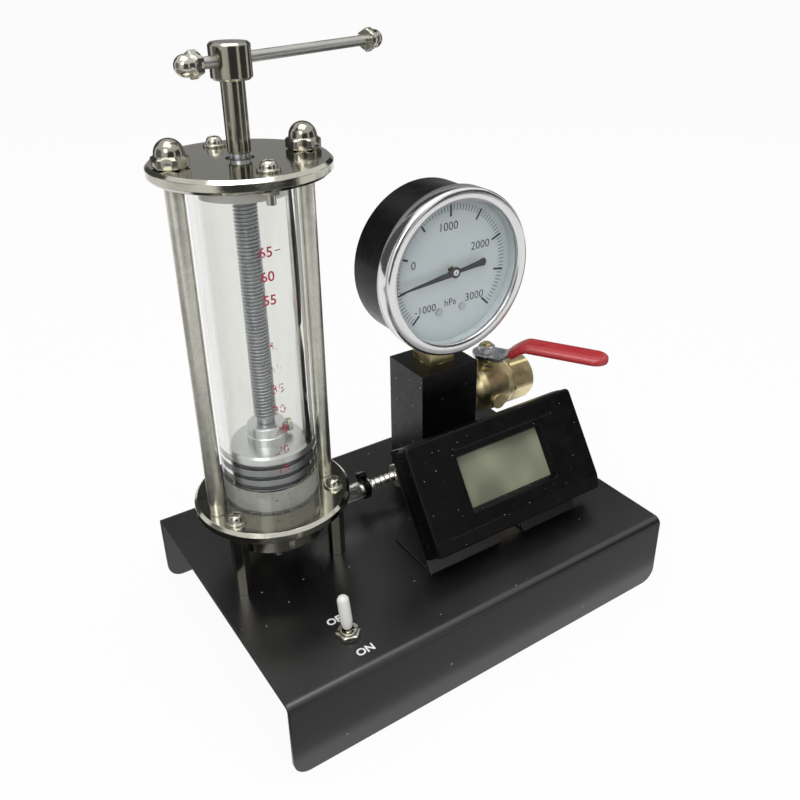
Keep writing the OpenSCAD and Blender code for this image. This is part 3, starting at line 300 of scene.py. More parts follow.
def rounded_loop(width: float, height: float, corner: float, side: int = 40,
                 bend: int = 8) -> Points:
    """Walks round a rectangle with rounded corners, anticlockwise from its lower left.

    Args:
        width: Its width.
        height: Its height.
        corner: Radius of its corners.
        side: Points on a side.
        bend: Points on a corner.

    Returns:
        Points (4 * (side + bend), 2), with the rectangle's lower left corner at the origin.
    """
    t = np.linspace(0.0, 1.0, side, endpoint=False)
    q = np.linspace(0.0, np.pi / 2.0, bend, endpoint=False)
    w, h, c = width, height, corner
    runs = []
    for k, (a, b, centre) in enumerate([
            ((c, 0), (w - c, 0), (w - c, c)), ((w, c), (w, h - c), (w - c, h - c)),
            ((w - c, h), (c, h), (c, h - c)), ((0, h - c), (0, c), (c, c))]):
        runs.append(np.outer(1 - t, a) + np.outer(t, b))
        angle = q + (k - 1) * np.pi / 2.0
        runs.append(np.array(centre) + c * np.column_stack([np.cos(angle), np.sin(angle)]))
    return np.vstack(runs)


def lettering(words: str, height: float, bold: float = 0.0) -> Tuple[Points, list]:
    """Makes flat lettering, centred on the origin of its plane.

    Args:
        words: Plain numbers or words.
        height: Height of a capital, in millimetres.
        bold: How far its strokes are thickened, as a share of that height.

    Returns:
        Its points in millimetres and its faces.
    """
    curve = bpy.data.curves.new("lettering", "FONT")
    curve.body = words
    curve.size = height / CAPITAL
    curve.offset = bold * height
    curve.resolution_u = 3
    curve.fill_mode = "FRONT"
    holder = bpy.data.objects.new("lettering", curve)
    mesh = bpy.data.meshes.new_from_object(holder)
    points = np.empty(len(mesh.vertices) * 3)
    mesh.vertices.foreach_get("co", points)
    points = points.reshape(-1, 3)
    middle = (points.max(axis=0) + points.min(axis=0)) / 2.0
    faces = [list(p.vertices) for p in mesh.polygons]
    bpy.data.meshes.remove(mesh)
    bpy.data.objects.remove(holder)
    bpy.data.curves.remove(curve)
    return points - middle, faces


# ---------- shader trees ----------

class Tree:
    """Adds nodes to a shader tree and links what they are fed."""

    def __init__(self, tree: bpy.types.NodeTree) -> None:
        """Keeps the tree."""
        self.tree = tree

    def add(self, kind: str, feeds: Optional[dict] = None, **options: object) -> bpy.types.Node:
        """Adds one node.

        Args:
            kind: The node's type without its ShaderNode prefix.
            feeds: Values or sockets by input name or number.
            **options: The node's own properties.

        Returns:
            The node.
        """
        node = self.tree.nodes.new(kind if kind.startswith("Node") else "ShaderNode" + kind)
        for key, value in options.items():
            setattr(node, key, value)
        for key, value in (feeds or {}).items():
            self.feed(node.inputs[key], value)
        return node

    def feed(self, socket: bpy.types.NodeSocket, value: Value) -> None:
        """Links a socket into an input, or sets the input's own value."""
        if isinstance(value, bpy.types.NodeSocket):
            self.tree.links.new(value, socket)
        elif isinstance(value, (tuple, list)) and socket.type == "RGBA":
            socket.default_value = (*value[:3], 1.0)
        else:
            socket.default_value = value

    def maths(self, operation: str, a: Value, b: Value = 0.5, clamp: bool = False) -> bpy.types.NodeSocket:
        """Works out one sum of two values."""
        return self.add("Math", {0: a, 1: b}, operation=operation, use_clamp=clamp).outputs[0]

    def span(self, value: Value, low: float, high: float, to_low: float = 0.0,
             to_high: float = 1.0) -> bpy.types.NodeSocket:
        """Carries a value from one range to another, clamped."""
        return self.add("MapRange", {"Value": value, "From Min": low, "From Max": high,
                                     "To Min": to_low, "To Max": to_high}).outputs[0]

    def blend(self, share: Value, a: Value, b: Value) -> bpy.types.NodeSocket:
        """Mixes two colours by a share."""
        return self.add("Mix", {0: share, 6: a, 7: b}, data_type="RGBA").outputs[2]

    def group(self, build: "Effect", **feeds: Value) -> bpy.types.Node:
        """Places a shared effect and feeds its inputs by name."""
        node = self.tree.nodes.new("ShaderNodeGroup")
        node.node_tree = build.tree()
        for key, value in feeds.items():
            self.feed(node.inputs[key.replace("_", " ").capitalize()], value)
        return node


class Effect(Enum):
    """Effects that several finishes share, each a node group built once."""
    GRAIN = "fine_grain"
    SMUDGE = "handled_smudges"
    SPECKS = "dust_specks"
    EDGES = "worn_edges_and_painted_highlight"

    def tree(self) -> bpy.types.NodeTree:
        """Returns the effect's node group, built at its first use."""
        ready = bpy.data.node_groups.get(self.value)
        if ready:
            return ready
        builders = {Effect.GRAIN: self._grain, Effect.SMUDGE: self._smudge, Effect.SPECKS: self._specks,
                    Effect.EDGES: self._edges}
        return builders[self](bpy.data.node_groups.new(self.value, "ShaderNodeTree"))

    @staticmethod
    def _sockets(tree: bpy.types.NodeTree, ins: Sequence[Tuple[str, str, Value]],
                 outs: Sequence[Tuple[str, str]]) -> Tuple[bpy.types.Node, bpy.types.Node]:
        """Names a group's inputs, with their usual values, and outputs.

        Args:
            tree: The group's tree.
            ins: Names, kinds and usual values of its inputs.
            outs: Names and kinds of its outputs.

        Returns:
            The group's input and output nodes.
        """
        for name, kind, value in ins:
            socket = tree.interface.new_socket(name=name, in_out="INPUT", socket_type="NodeSocket" + kind)
            socket.default_value = value
        for name, kind in outs:
            tree.interface.new_socket(name=name, in_out="OUTPUT", socket_type="NodeSocket" + kind)
        return tree.nodes.new("NodeGroupInput"), tree.nodes.new("NodeGroupOutput")

    def _grain(self, tree: bpy.types.NodeTree) -> bpy.types.NodeTree:
        """Fine noise of a real size, which can be drawn out along an axis."""
        ins = [("Scale", "Float", 900.0), ("Stretch", "Vector", (1.0, 1.0, 1.0))]
        given, result = self._sockets(tree, ins, [("Value", "Float")])
        nodes = Tree(tree)
        at = nodes.add("TexCoord").outputs["Object"]
        drawn = nodes.add("Mapping", {"Vector": at, "Scale": given.outputs["Stretch"]}).outputs[0]
        noise = nodes.add("TexNoise", {"Vector": drawn, "Scale": given.outputs["Scale"], "Detail": 3.0,
                                       "Roughness": 0.6}).outputs["Fac"]
        nodes.feed(result.inputs["Value"], nodes.span(noise, 0.3, 0.7))
        return tree

    def _smudge(self, tree: bpy.types.NodeTree) -> bpy.types.NodeTree:
        """Soft uneven patches a few millimetres wide, as handling leaves."""
        given, result = self._sockets(tree, [("Scale", "Float", 60.0)], [("Value", "Float")])
        nodes = Tree(tree)
        at = nodes.add("TexCoord").outputs["Object"]
        wide = nodes.add("TexNoise", {"Vector": at, "Scale": given.outputs["Scale"], "Detail": 4.0,
                                      "Distortion": 0.6}).outputs["Fac"]
        finer = nodes.maths("MULTIPLY", given.outputs["Scale"], 5.0)
        fine = nodes.add("TexNoise", {"Vector": at, "Scale": finer, "Detail": 2.0}).outputs["Fac"]
        both = nodes.maths("MULTIPLY_ADD", nodes.maths("MULTIPLY", wide, fine), 2.0)
        both.node.inputs[2].default_value = 0.0
        nodes.feed(result.inputs["Value"], nodes.span(both, 0.25, 0.8))
        return tree

    def _specks(self, tree: bpy.types.NodeTree) -> bpy.types.NodeTree:
        """Small round specks of dust, one in some cells of a pattern, each of its own size."""
        given, result = self._sockets(tree, [("Scale", "Float", 500.0), ("Share", "Float", 0.15)],
                                      [("Mask", "Float")])
        nodes = Tree(tree)
        at = nodes.add("TexCoord").outputs["Object"]
        cells = nodes.add("TexVoronoi", {"Vector": at, "Scale": given.outputs["Scale"], "Randomness": 1.0})
        pick = nodes.add("SeparateColor", {"Color": cells.outputs["Color"]})
        size = nodes.span(pick.outputs[1], 0.0, 1.0, 0.04, 0.16)
        inside = nodes.maths("LESS_THAN", cells.outputs["Distance"], size)
        chosen = nodes.maths("LESS_THAN", pick.outputs[0], given.outputs["Share"])
        nodes.feed(result.inputs["Mask"], nodes.maths("MULTIPLY", inside, chosen))
        return tree

    def _edges(self, tree: bpy.types.NodeTree) -> bpy.types.NodeTree:
        """A softened normal at corners, and a broken mask along them, which marks both edge wear and a
        painted edge highlight.
        """
        given, result = self._sockets(tree, [("Radius", "Float", 0.0003), ("Amount", "Float", 0.5)],
                                      [("Mask", "Float"), ("Normal", "Vector")])
        nodes = Tree(tree)
        soft = nodes.add("Bevel", {"Radius": given.outputs["Radius"]}, samples=4).outputs[0]
        flat = nodes.add("NewGeometry").outputs["Normal"]
        same = nodes.add("VectorMath", {0: soft, 1: flat}, operation="DOT_PRODUCT").outputs["Value"]
        corner = nodes.span(same, 0.995, 0.85)
        at = nodes.add("TexCoord").outputs["Object"]
        noise = nodes.add("TexNoise", {"Vector": at, "Scale": 420.0, "Detail": 4.0}).outputs["Fac"]
        broken = nodes.span(noise, 0.42, 0.62)
        nodes.feed(result.inputs["Mask"], nodes.maths("MULTIPLY", nodes.maths("MULTIPLY", corner, broken),
                                                      given.outputs["Amount"]))
        nodes.feed(result.inputs["Normal"], soft)
        return tree


# ---------- finishes ----------

def shade(colour: Rgb, factor: float) -> Rgb:
    """Makes a colour lighter or darker."""
    return tuple(min(1.0, c * factor) for c in colour)


@dataclass(frozen=True)
class Finish:
    """An opaque finish: its colour, gloss, grain, smudges, dust and edge wear, whose lighter corners are
    partly a painted edge highlight.
    """
    name: str
    colour: Rgb
    metallic: float = 0.0
    roughness: float = 0.4
    tint: float = 0.08
    uneven: float = 0.08
    grain: float = 900.0
    stretch: Vec = (1.0, 1.0, 1.0)
    height: float = 0.00001
    # Share and colour of the lighter corners: real edge wear, and partly a painted edge highlight
    wear: float = 0.3
    worn: Rgb = (0.5, 0.5, 0.5)
    corner: float = 0.0003
    dust: float = 0.0
    dust_size: float = 500.0
    specular: float = 0.5
    coat: float = 0.0

    def material(self) -> bpy.types.Material:
        """Returns the finish's material, built at its first use."""
        ready = bpy.data.materials.get(self.name)
        if ready:
            return ready
        material = bpy.data.materials.new(self.name)
        material.use_nodes = True
        material.node_tree.nodes.clear()
        nodes = Tree(material.node_tree)
        shader = self.shader(nodes)
        nodes.add("OutputMaterial", {"Surface": shader})
        return material

    def surface(self, nodes: Tree) -> Tuple[Value, Value, Value]:
        """Works out the colour, roughness and normal that change over the surface.

        Args:
            nodes: The material's tree.

        Returns:
            The sockets of colour, roughness and normal.
        """
        grain = nodes.group(Effect.GRAIN, scale=self.grain, stretch=self.stretch).outputs["Value"]
        smudge = nodes.group(Effect.SMUDGE, scale=60.0).outputs["Value"]
        edges = nodes.group(Effect.EDGES, radius=self.corner, amount=self.wear)
        mixed = nodes.maths("MULTIPLY_ADD", grain, 0.6)
        nodes.feed(mixed.node.inputs[2], nodes.maths("MULTIPLY", smudge, 0.4))
        colour = nodes.blend(mixed, shade(self.colour, 1.0 - self.tint), shade(self.colour, 1.0 + self.tint))
        # Corners blend towards the lighter worn colour: real edge wear, and partly a painted edge highlight
        colour = nodes.blend(edges.outputs["Mask"], colour, self.worn)
        rough = nodes.span(smudge, 0.0, 1.0, max(0.02, self.roughness - self.uneven),
                           self.roughness + self.uneven)
        if self.dust > 0.0:
            specks = nodes.group(Effect.SPECKS, scale=self.dust_size, share=self.dust).outputs["Mask"]
            colour = nodes.blend(specks, colour, (0.55, 0.54, 0.52))
            rough = nodes.maths("MAXIMUM", rough, specks)
        normal = nodes.add("Bump", {"Height": grain, "Distance": self.height, "Strength": 1.0,
                                    "Normal": edges.outputs["Normal"]}).outputs[0]
        return colour, rough, normal

    def shader(self, nodes: Tree) -> bpy.types.NodeSocket:
        """Builds the surface shader.

        Args:
            nodes: The material's tree.

        Returns:
            The shader's output.
        """
        colour, rough, normal = self.surface(nodes)
        return nodes.add("BsdfPrincipled", {
            "Base Color": colour, "Roughness": rough, "Normal": normal, "Metallic": self.metallic,
            "Specular IOR Level": self.specular, "Coat Weight": self.coat,
            "Coat Roughness": 0.08}).outputs[0]


@dataclass(frozen=True)
class Clear(Finish):
    """A clear finish: acrylic, hose or glass, with faint smudges, which lets light through."""
    ior: float = 1.49
    shadow: Rgb = (0.93, 0.93, 0.93)

    def shader(self, nodes: Tree) -> bpy.types.NodeSocket:
        """Builds glass that leaves a light shadow.

        Args:
            nodes: The material's tree.

        Returns:
            The shader's output.
        """
        smudge = nodes.group(Effect.SMUDGE, scale=45.0).outputs["Value"]
        grain = nodes.group(Effect.GRAIN, scale=self.grain, stretch=self.stretch).outputs["Value"]
        rough = nodes.span(smudge, 0.35, 1.0, self.roughness, self.roughness + self.uneven)
        normal = nodes.add("Bump", {"Height": grain, "Distance": self.height}).outputs[0]
        tint = nodes.blend(smudge, shade(self.colour, 1.0 - self.tint), self.colour)
        glass = nodes.add("BsdfPrincipled", {
            "Base Color": tint, "Roughness": rough, "Normal": normal, "Transmission Weight": 1.0,
            "IOR": self.ior, "Specular IOR Level": self.specular}).outputs[0]
        through = nodes.add("BsdfTransparent", {"Color": self.shadow}).outputs[0]
        is_shadow = nodes.add("LightPath").outputs["Is Shadow Ray"]
        return nodes.add("MixShader", {0: is_shadow, 1: glass, 2: through}).outputs[0]


@dataclass(frozen=True)
class Ink(Finish):
    """Printed ink, worn through in places."""
    worn_share: float = 0.0
    cover: float = 1.0

    def shader(self, nodes: Tree) -> bpy.types.NodeSocket:
        """Builds ink whose alpha breaks up with wear.

        Args:
            nodes: The material's tree.

        Returns:
            The shader's output.
        """
        patches = nodes.group(Effect.GRAIN, scale=self.grain).outputs["Value"]
        wide = nodes.group(Effect.SMUDGE, scale=90.0).outputs["Value"]
        left = nodes.maths("ADD", nodes.maths("MULTIPLY", patches, 0.5), nodes.maths("MULTIPLY", wide, 0.5))
        alpha = nodes.span(left, self.worn_share - 0.12, self.worn_share + 0.05, 0.0, self.cover)
        colour = nodes.blend(wide, shade(self.colour, 1.0 - self.tint), shade(self.colour, 1.0 + self.tint))
        return nodes.add("BsdfPrincipled", {
            "Base Color": colour, "Roughness": self.roughness, "Alpha": alpha,
            "Specular IOR Level": self.specular}).outputs[0]


@dataclass(frozen=True)
class Display(Finish):
    """A display that is off: grey-green, with a painted soft dark reflection band across it and a glossy
    front.
    """

    def shader(self, nodes: Tree) -> bpy.types.NodeSocket:
        """Builds the display's layered look.

        Args:
            nodes: The material's tree.

        Returns:
            The shader's output.
        """
        at = nodes.add("TexCoord").outputs["Object"]
        slant = nodes.add("Mapping", {"Vector": at, "Rotation": (0.0, 0.5, 0.6),
                                      "Scale": (1.0, 0.25, 1.0)}).outputs[0]
        # The slanted noise paints a soft dark reflection band across the display, darkening its colour down
        # to half
        cast = nodes.add("TexNoise", {"Vector": slant, "Scale": 38.0, "Detail": 1.5}).outputs["Fac"]
        colour = nodes.blend(nodes.span(cast, 0.36, 0.6), shade(self.colour, 0.5), shade(self.colour, 1.14))
        fine = nodes.group(Effect.GRAIN, scale=2600.0).outputs["Value"]
        colour = nodes.blend(nodes.maths("MULTIPLY", fine, 0.1), colour, shade(self.colour, 0.6))
        return nodes.add("BsdfPrincipled", {
            "Base Color": colour, "Roughness": self.roughness, "Specular IOR Level": self.specular,
            "Coat Weight": 1.0, "Coat Roughness": 0.06}).outputs[0]


POWDER = Finish("deck_powder_coat", (0.0035, 0.0035, 0.004), 0.0, 0.3, 0.12, 0.02, 1800.0,
                height=0.00002, wear=0.25, worn=(0.08, 0.08, 0.08), corner=0.0006, dust=0.05, specular=0.8)
NICKEL = Finish("bright_nickel", (0.47, 0.455, 0.39), 1.0, 0.16, 0.06, 0.05, 900.0, height=0.000002,
                wear=0.2, worn=(0.85, 0.84, 0.8), corner=0.00035)
# A darker copy of bright nickel, a painted dark reflection of dark surroundings, for the spindle's head and
# shank, the rod nuts and the standoffs
NICKEL_PAINTED_DARK = Finish("nickel_painted_dark_reflection", (0.32, 0.305, 0.255), 1.0, 0.15, 0.1, 0.04, 900.0, (1.0, 1.0, 0.2),
                  0.000003, wear=0.25, worn=(0.7, 0.68, 0.62), corner=0.0005)
BAR = Finish("turned_bar", (0.5, 0.495, 0.465), 1.0, 0.34, 0.06, 0.06, 900.0, height=0.000003, wear=0.0)
SATIN = Finish("grained_nickel", (0.7, 0.685, 0.61), 1.0, 0.33, 0.3, 0.04, 2600.0, height=0.000008,
               wear=0.2, worn=(0.75, 0.73, 0.7), corner=0.00025)
ZINC = Finish("bright_zinc", (0.60, 0.61, 0.62), 1.0, 0.28, 0.1, 0.08, 900.0, height=0.000004,
              worn=(0.75, 0.75, 0.75))
THREAD = Finish("turned_steel", (0.41, 0.42, 0.44), 1.0, 0.33, 0.12, 0.08, 1200.0, (1.0, 1.0, 3.0), 0.000003,
                wear=0.2, worn=(0.6, 0.6, 0.6), corner=0.0001)
ALUMINIUM = Finish("turned_aluminium", (0.66, 0.675, 0.675), 1.0, 0.3, 0.02, 0.02, 300.0, (1.0, 1.0, 8.0),
                   0.0000005, wear=0.2, worn=(0.8, 0.8, 0.8))
GREASED = Finish("greased_aluminium", (0.3, 0.31, 0.325), 1.0, 0.32, 0.03, 0.03, 300.0, (1.0, 1.0, 8.0),
                 0.0000005, wear=0.1, worn=(0.6, 0.6, 0.6))
FITTING = Finish("fitting_nickel", (0.78, 0.76, 0.69), 1.0, 0.3, 0.08, 0.05, 900.0, height=0.000003,
                 worn=(0.9, 0.89, 0.85), corner=0.0002)
PLATED = Finish("plated_disc", (0.5, 0.49, 0.42), 1.0, 0.1, 0.07, 0.03, 2300.0, height=0.000004, wear=0.2,
                worn=(0.8, 0.8, 0.76), corner=0.0003)
ANODISED = Finish("anodised_block", (0.002, 0.002, 0.0025), 0.0, 0.34, 0.3, 0.07, 1300.0, height=0.000008,
                  wear=0.4, worn=(0.16, 0.16, 0.17), corner=0.0004, dust=0.05, specular=0.3)
BRASS = Finish("cast_brass", (0.8, 0.68, 0.37), 1.0, 0.36, 0.16, 0.09, 500.0, height=0.00002,
               wear=0.3, worn=(0.78, 0.64, 0.36), corner=0.0005)
BRONZED = Finish("bronzed_brass", (0.56, 0.48, 0.27), 1.0, 0.38, 0.16, 0.09, 500.0, height=0.00002,
                 wear=0.3, worn=(0.78, 0.64, 0.36), corner=0.0005)
CHROME = Finish("chrome", (0.72, 0.72, 0.72), 1.0, 0.14, 0.02, 0.02, 300.0, height=0.0000005, wear=0.0)
CASE = Finish("black_enamel", (0.0025, 0.0025, 0.0025), 0.0, 0.3, 0.2, 0.06, 900.0, height=0.00001,
              wear=0.3, worn=(0.15, 0.15, 0.15), dust=0.06, specular=0.2)
MOULDED = Finish("black_moulding", (0.003, 0.003, 0.0035), 0.0, 0.34, 0.2, 0.08, 2200.0, height=0.000012,
                 wear=0.3, worn=(0.1, 0.1, 0.1), corner=0.0004, dust=0.12, dust_size=1000.0, specular=0.15)
WHITE = Finish("white_moulding", (0.80, 0.79, 0.76), 0.0, 0.32, 0.03, 0.06, 900.0, wear=0.0)
BLUE = Finish("blue_moulding", (0.03, 0.08, 0.3), 0.0, 0.35, 0.1, 0.06, 900.0)
GREEN = Finish("board_varnish", (0.02, 0.14, 0.06), 0.0, 0.4, 0.1, 0.06, 900.0)
RUBBER = Finish("seal_rubber", (0.012, 0.012, 0.012), 0.0, 0.5, 0.2, 0.08, 900.0, wear=0.0)
VINYL = Finish("dipped_vinyl", (0.44, 0.03, 0.035), 0.0, 0.3, 0.08, 0.08, 700.0, height=0.00001, wear=0.15,
               worn=(0.75, 0.25, 0.25), corner=0.0008, coat=0.12)
ENAMEL = Finish("dial_enamel", (0.45, 0.495, 0.51), 0.0, 0.45, 0.02, 0.05, 900.0, height=0.000002, wear=0.0)
POINTER = Finish("pointer_paint", (0.035, 0.035, 0.04), 0.0, 0.5, 0.1, 0.05, 900.0, wear=0.1, specular=0.2)
# The display's soft dark band is a painted reflection
LCD = Display("display_glass", (0.29, 0.305, 0.215), roughness=0.25)
ACRYLIC = Clear("tube_acrylic", (0.87, 0.875, 0.85), roughness=0.0, tint=0.02, uneven=0.0, grain=120.0,
                stretch=(1.0, 1.0, 0.15), height=0.00000002, ior=1.36)
HOSE = Clear("hose_vinyl", (0.86, 0.88, 0.86), roughness=0.16, tint=0.1, uneven=0.12, grain=400.0,
             height=0.00001, ior=1.42)
GLASS = Clear("front_glass", (0.97, 0.98, 0.98), roughness=0.0, tint=0.01, uneven=0.02, grain=200.0,
              height=0.00000005, ior=1.2)
DIAL_INK = Ink("dial_ink", (0.03, 0.03, 0.035), roughness=0.6, worn_share=0.0, specular=0.15)
CRIMSON = Ink("crimson_ink", (0.45, 0.03, 0.07), roughness=0.5, grain=1400.0, worn_share=0.22)
FADED = Ink("faded_ink", (0.45, 0.03, 0.07), roughness=0.5, grain=1500.0, worn_share=0.46)
TRACES = Ink("last_traces_of_ink", (0.45, 0.05, 0.08), roughness=0.5, grain=1500.0, worn_share=0.76)
GREASE = Ink("smeared_grease", (0.5, 0.5, 0.47), roughness=0.5, grain=500.0, worn_share=0.12, cover=0.6)
SILICONE = Finish("grey_silicone", (0.35, 0.35, 0.34), 0.0, 0.45, 0.08, 0.06, 900.0, wear=0.0)
WHITE_INK = Ink("deck_ink", (0.8, 0.8, 0.78), roughness=0.6, grain=2500.0, worn_share=0.1)

# The finish of each material slot of the record
SLOTS = {
    "black_powder_coat": POWDER, "nickel": NICKEL, "satin_nickel": SATIN, "zinc_steel": ZINC,
    "grey_steel": THREAD, "aluminium": ALUMINIUM, "black_anodised": ANODISED, "brass": BRASS,
    "clear_acrylic": ACRYLIC, "clear_hose": HOSE, "gauge_glass": GLASS, "white_plastic": WHITE,
    "black_plastic": MOULDED, "blue_plastic": BLUE, "green_board": GREEN, "lcd_glass": LCD,
    "red_vinyl": VINYL, "black_rubber": RUBBER, "black_case": CASE, "chrome_bezel": CHROME,
    "white_enamel": ENAMEL, "pointer_black": POINTER,
}

# CAD nodes whose finish differs from that of their slot
# spindle_head and standoffs take the nickel with a painted dark reflection
NODES = {
    "plate_gaskets": SILICONE, "top_plate": PLATED, "bottom_plate": PLATED, "spindle_head": NICKEL_PAINTED_DARK,
    "tommy_bar": BAR, "gauge_screws": THREAD, "block_barb": FITTING, "boss_elbow": FITTING,
    "switch_body": NICKEL, "standoffs": NICKEL_PAINTED_DARK, "valve_body": BRONZED,
}


def dress_nodes(frame: dict) -> None:
    """Gives every CAD node its own finish, or else that of its material slot."""
    for entry in frame["record"]["subparts"]:
        finish = NODES.get(entry["node"]) or SLOTS[entry["material_slot"]]
        for slot in frame["nodes"][entry["node"]].material_slots:
            slot.material = finish.material()
    LOG.info("dressed %d CAD nodes", len(frame["nodes"]))


# ---------- sub-assemblies ----------

@dataclass
class Fasteners:
    """Screws and nuts that show: flange screws with a cross recess, and domed nuts."""
    shank: float = 1.5
    flange: float = 3.7
    flange_t: float = 0.8
    dome: float = 2.75
    dome_h: float = 3.1
    recess: float = 0.42
    recess_deep: float = 1.1

    def flange_screw(self, length: float) -> Tuple[Points, np.ndarray]:
        """Makes a flange screw whose dome has a cross recess.

        The dome's height rises inwards as the square root of a quarter sine wave, and it drops by
        the recess depth where the point lies inside one of two crossed slots.

        Args:
            length: Length of the shank below the flange.

        Returns:
            The points and the quads.
        """
        t = np.linspace(0.0, 1.0, 22)
        dome_r = self.dome * (1.0 - t)
        rise = np.sqrt(np.sin(np.clip(t * 1.9, 0, 1) * np.pi / 2))
        dome_z = self.flange_t + (self.dome_h - self.flange_t) * rise
        profile = [(0.0, -length), (self.shank, -length), (self.shank, 0.0), (self.flange - 0.15, 0.0),
                   (self.flange, 0.15), (self.flange, self.flange_t - 0.15),
                   (self.flange - 0.15, self.flange_t), (self.dome + 0.02, self.flange_t)]
        points, faces = lathe(profile + list(zip(dome_r, dome_z)), 72)
        x, y, z = points.T
        in_slot = (np.minimum(abs(x), abs(y)) < self.recess) & (np.maximum(abs(x), abs(y)) < 1.55)
        z[(z > self.flange_t + 1.0) & in_slot] -= self.recess_deep
        return np.column_stack([x, y, z]), faces

    def domed_nut(self, flats: float, hex_h: float, dome: float, neck: float) -> Tuple[Points, np.ndarray]:
        """Makes a domed nut: a chamfered hexagon, a short neck and a half ball.

        Args:
            flats: Width over the flats.
            hex_h: Height of the hexagon.
            dome: Radius of the dome.
            neck: Height of the straight neck under it.

        Returns:
            The points and the quads.
        """
        far = flats * HEX_CORNER
        profile = [(0.0, 0.0), (flats * 0.48, 0.0), (far, flats * 0.05), (far, hex_h - flats * 0.06),
                   (flats * 0.485, hex_h), (dome + 0.05, hex_h), (dome, hex_h + 0.08),
                   (dome, hex_h + neck)]
        profile += arc((0.0, hex_h + neck), dome, 4.0, 90.0, 14)
        return hex_lathe(profile, flats, 96)


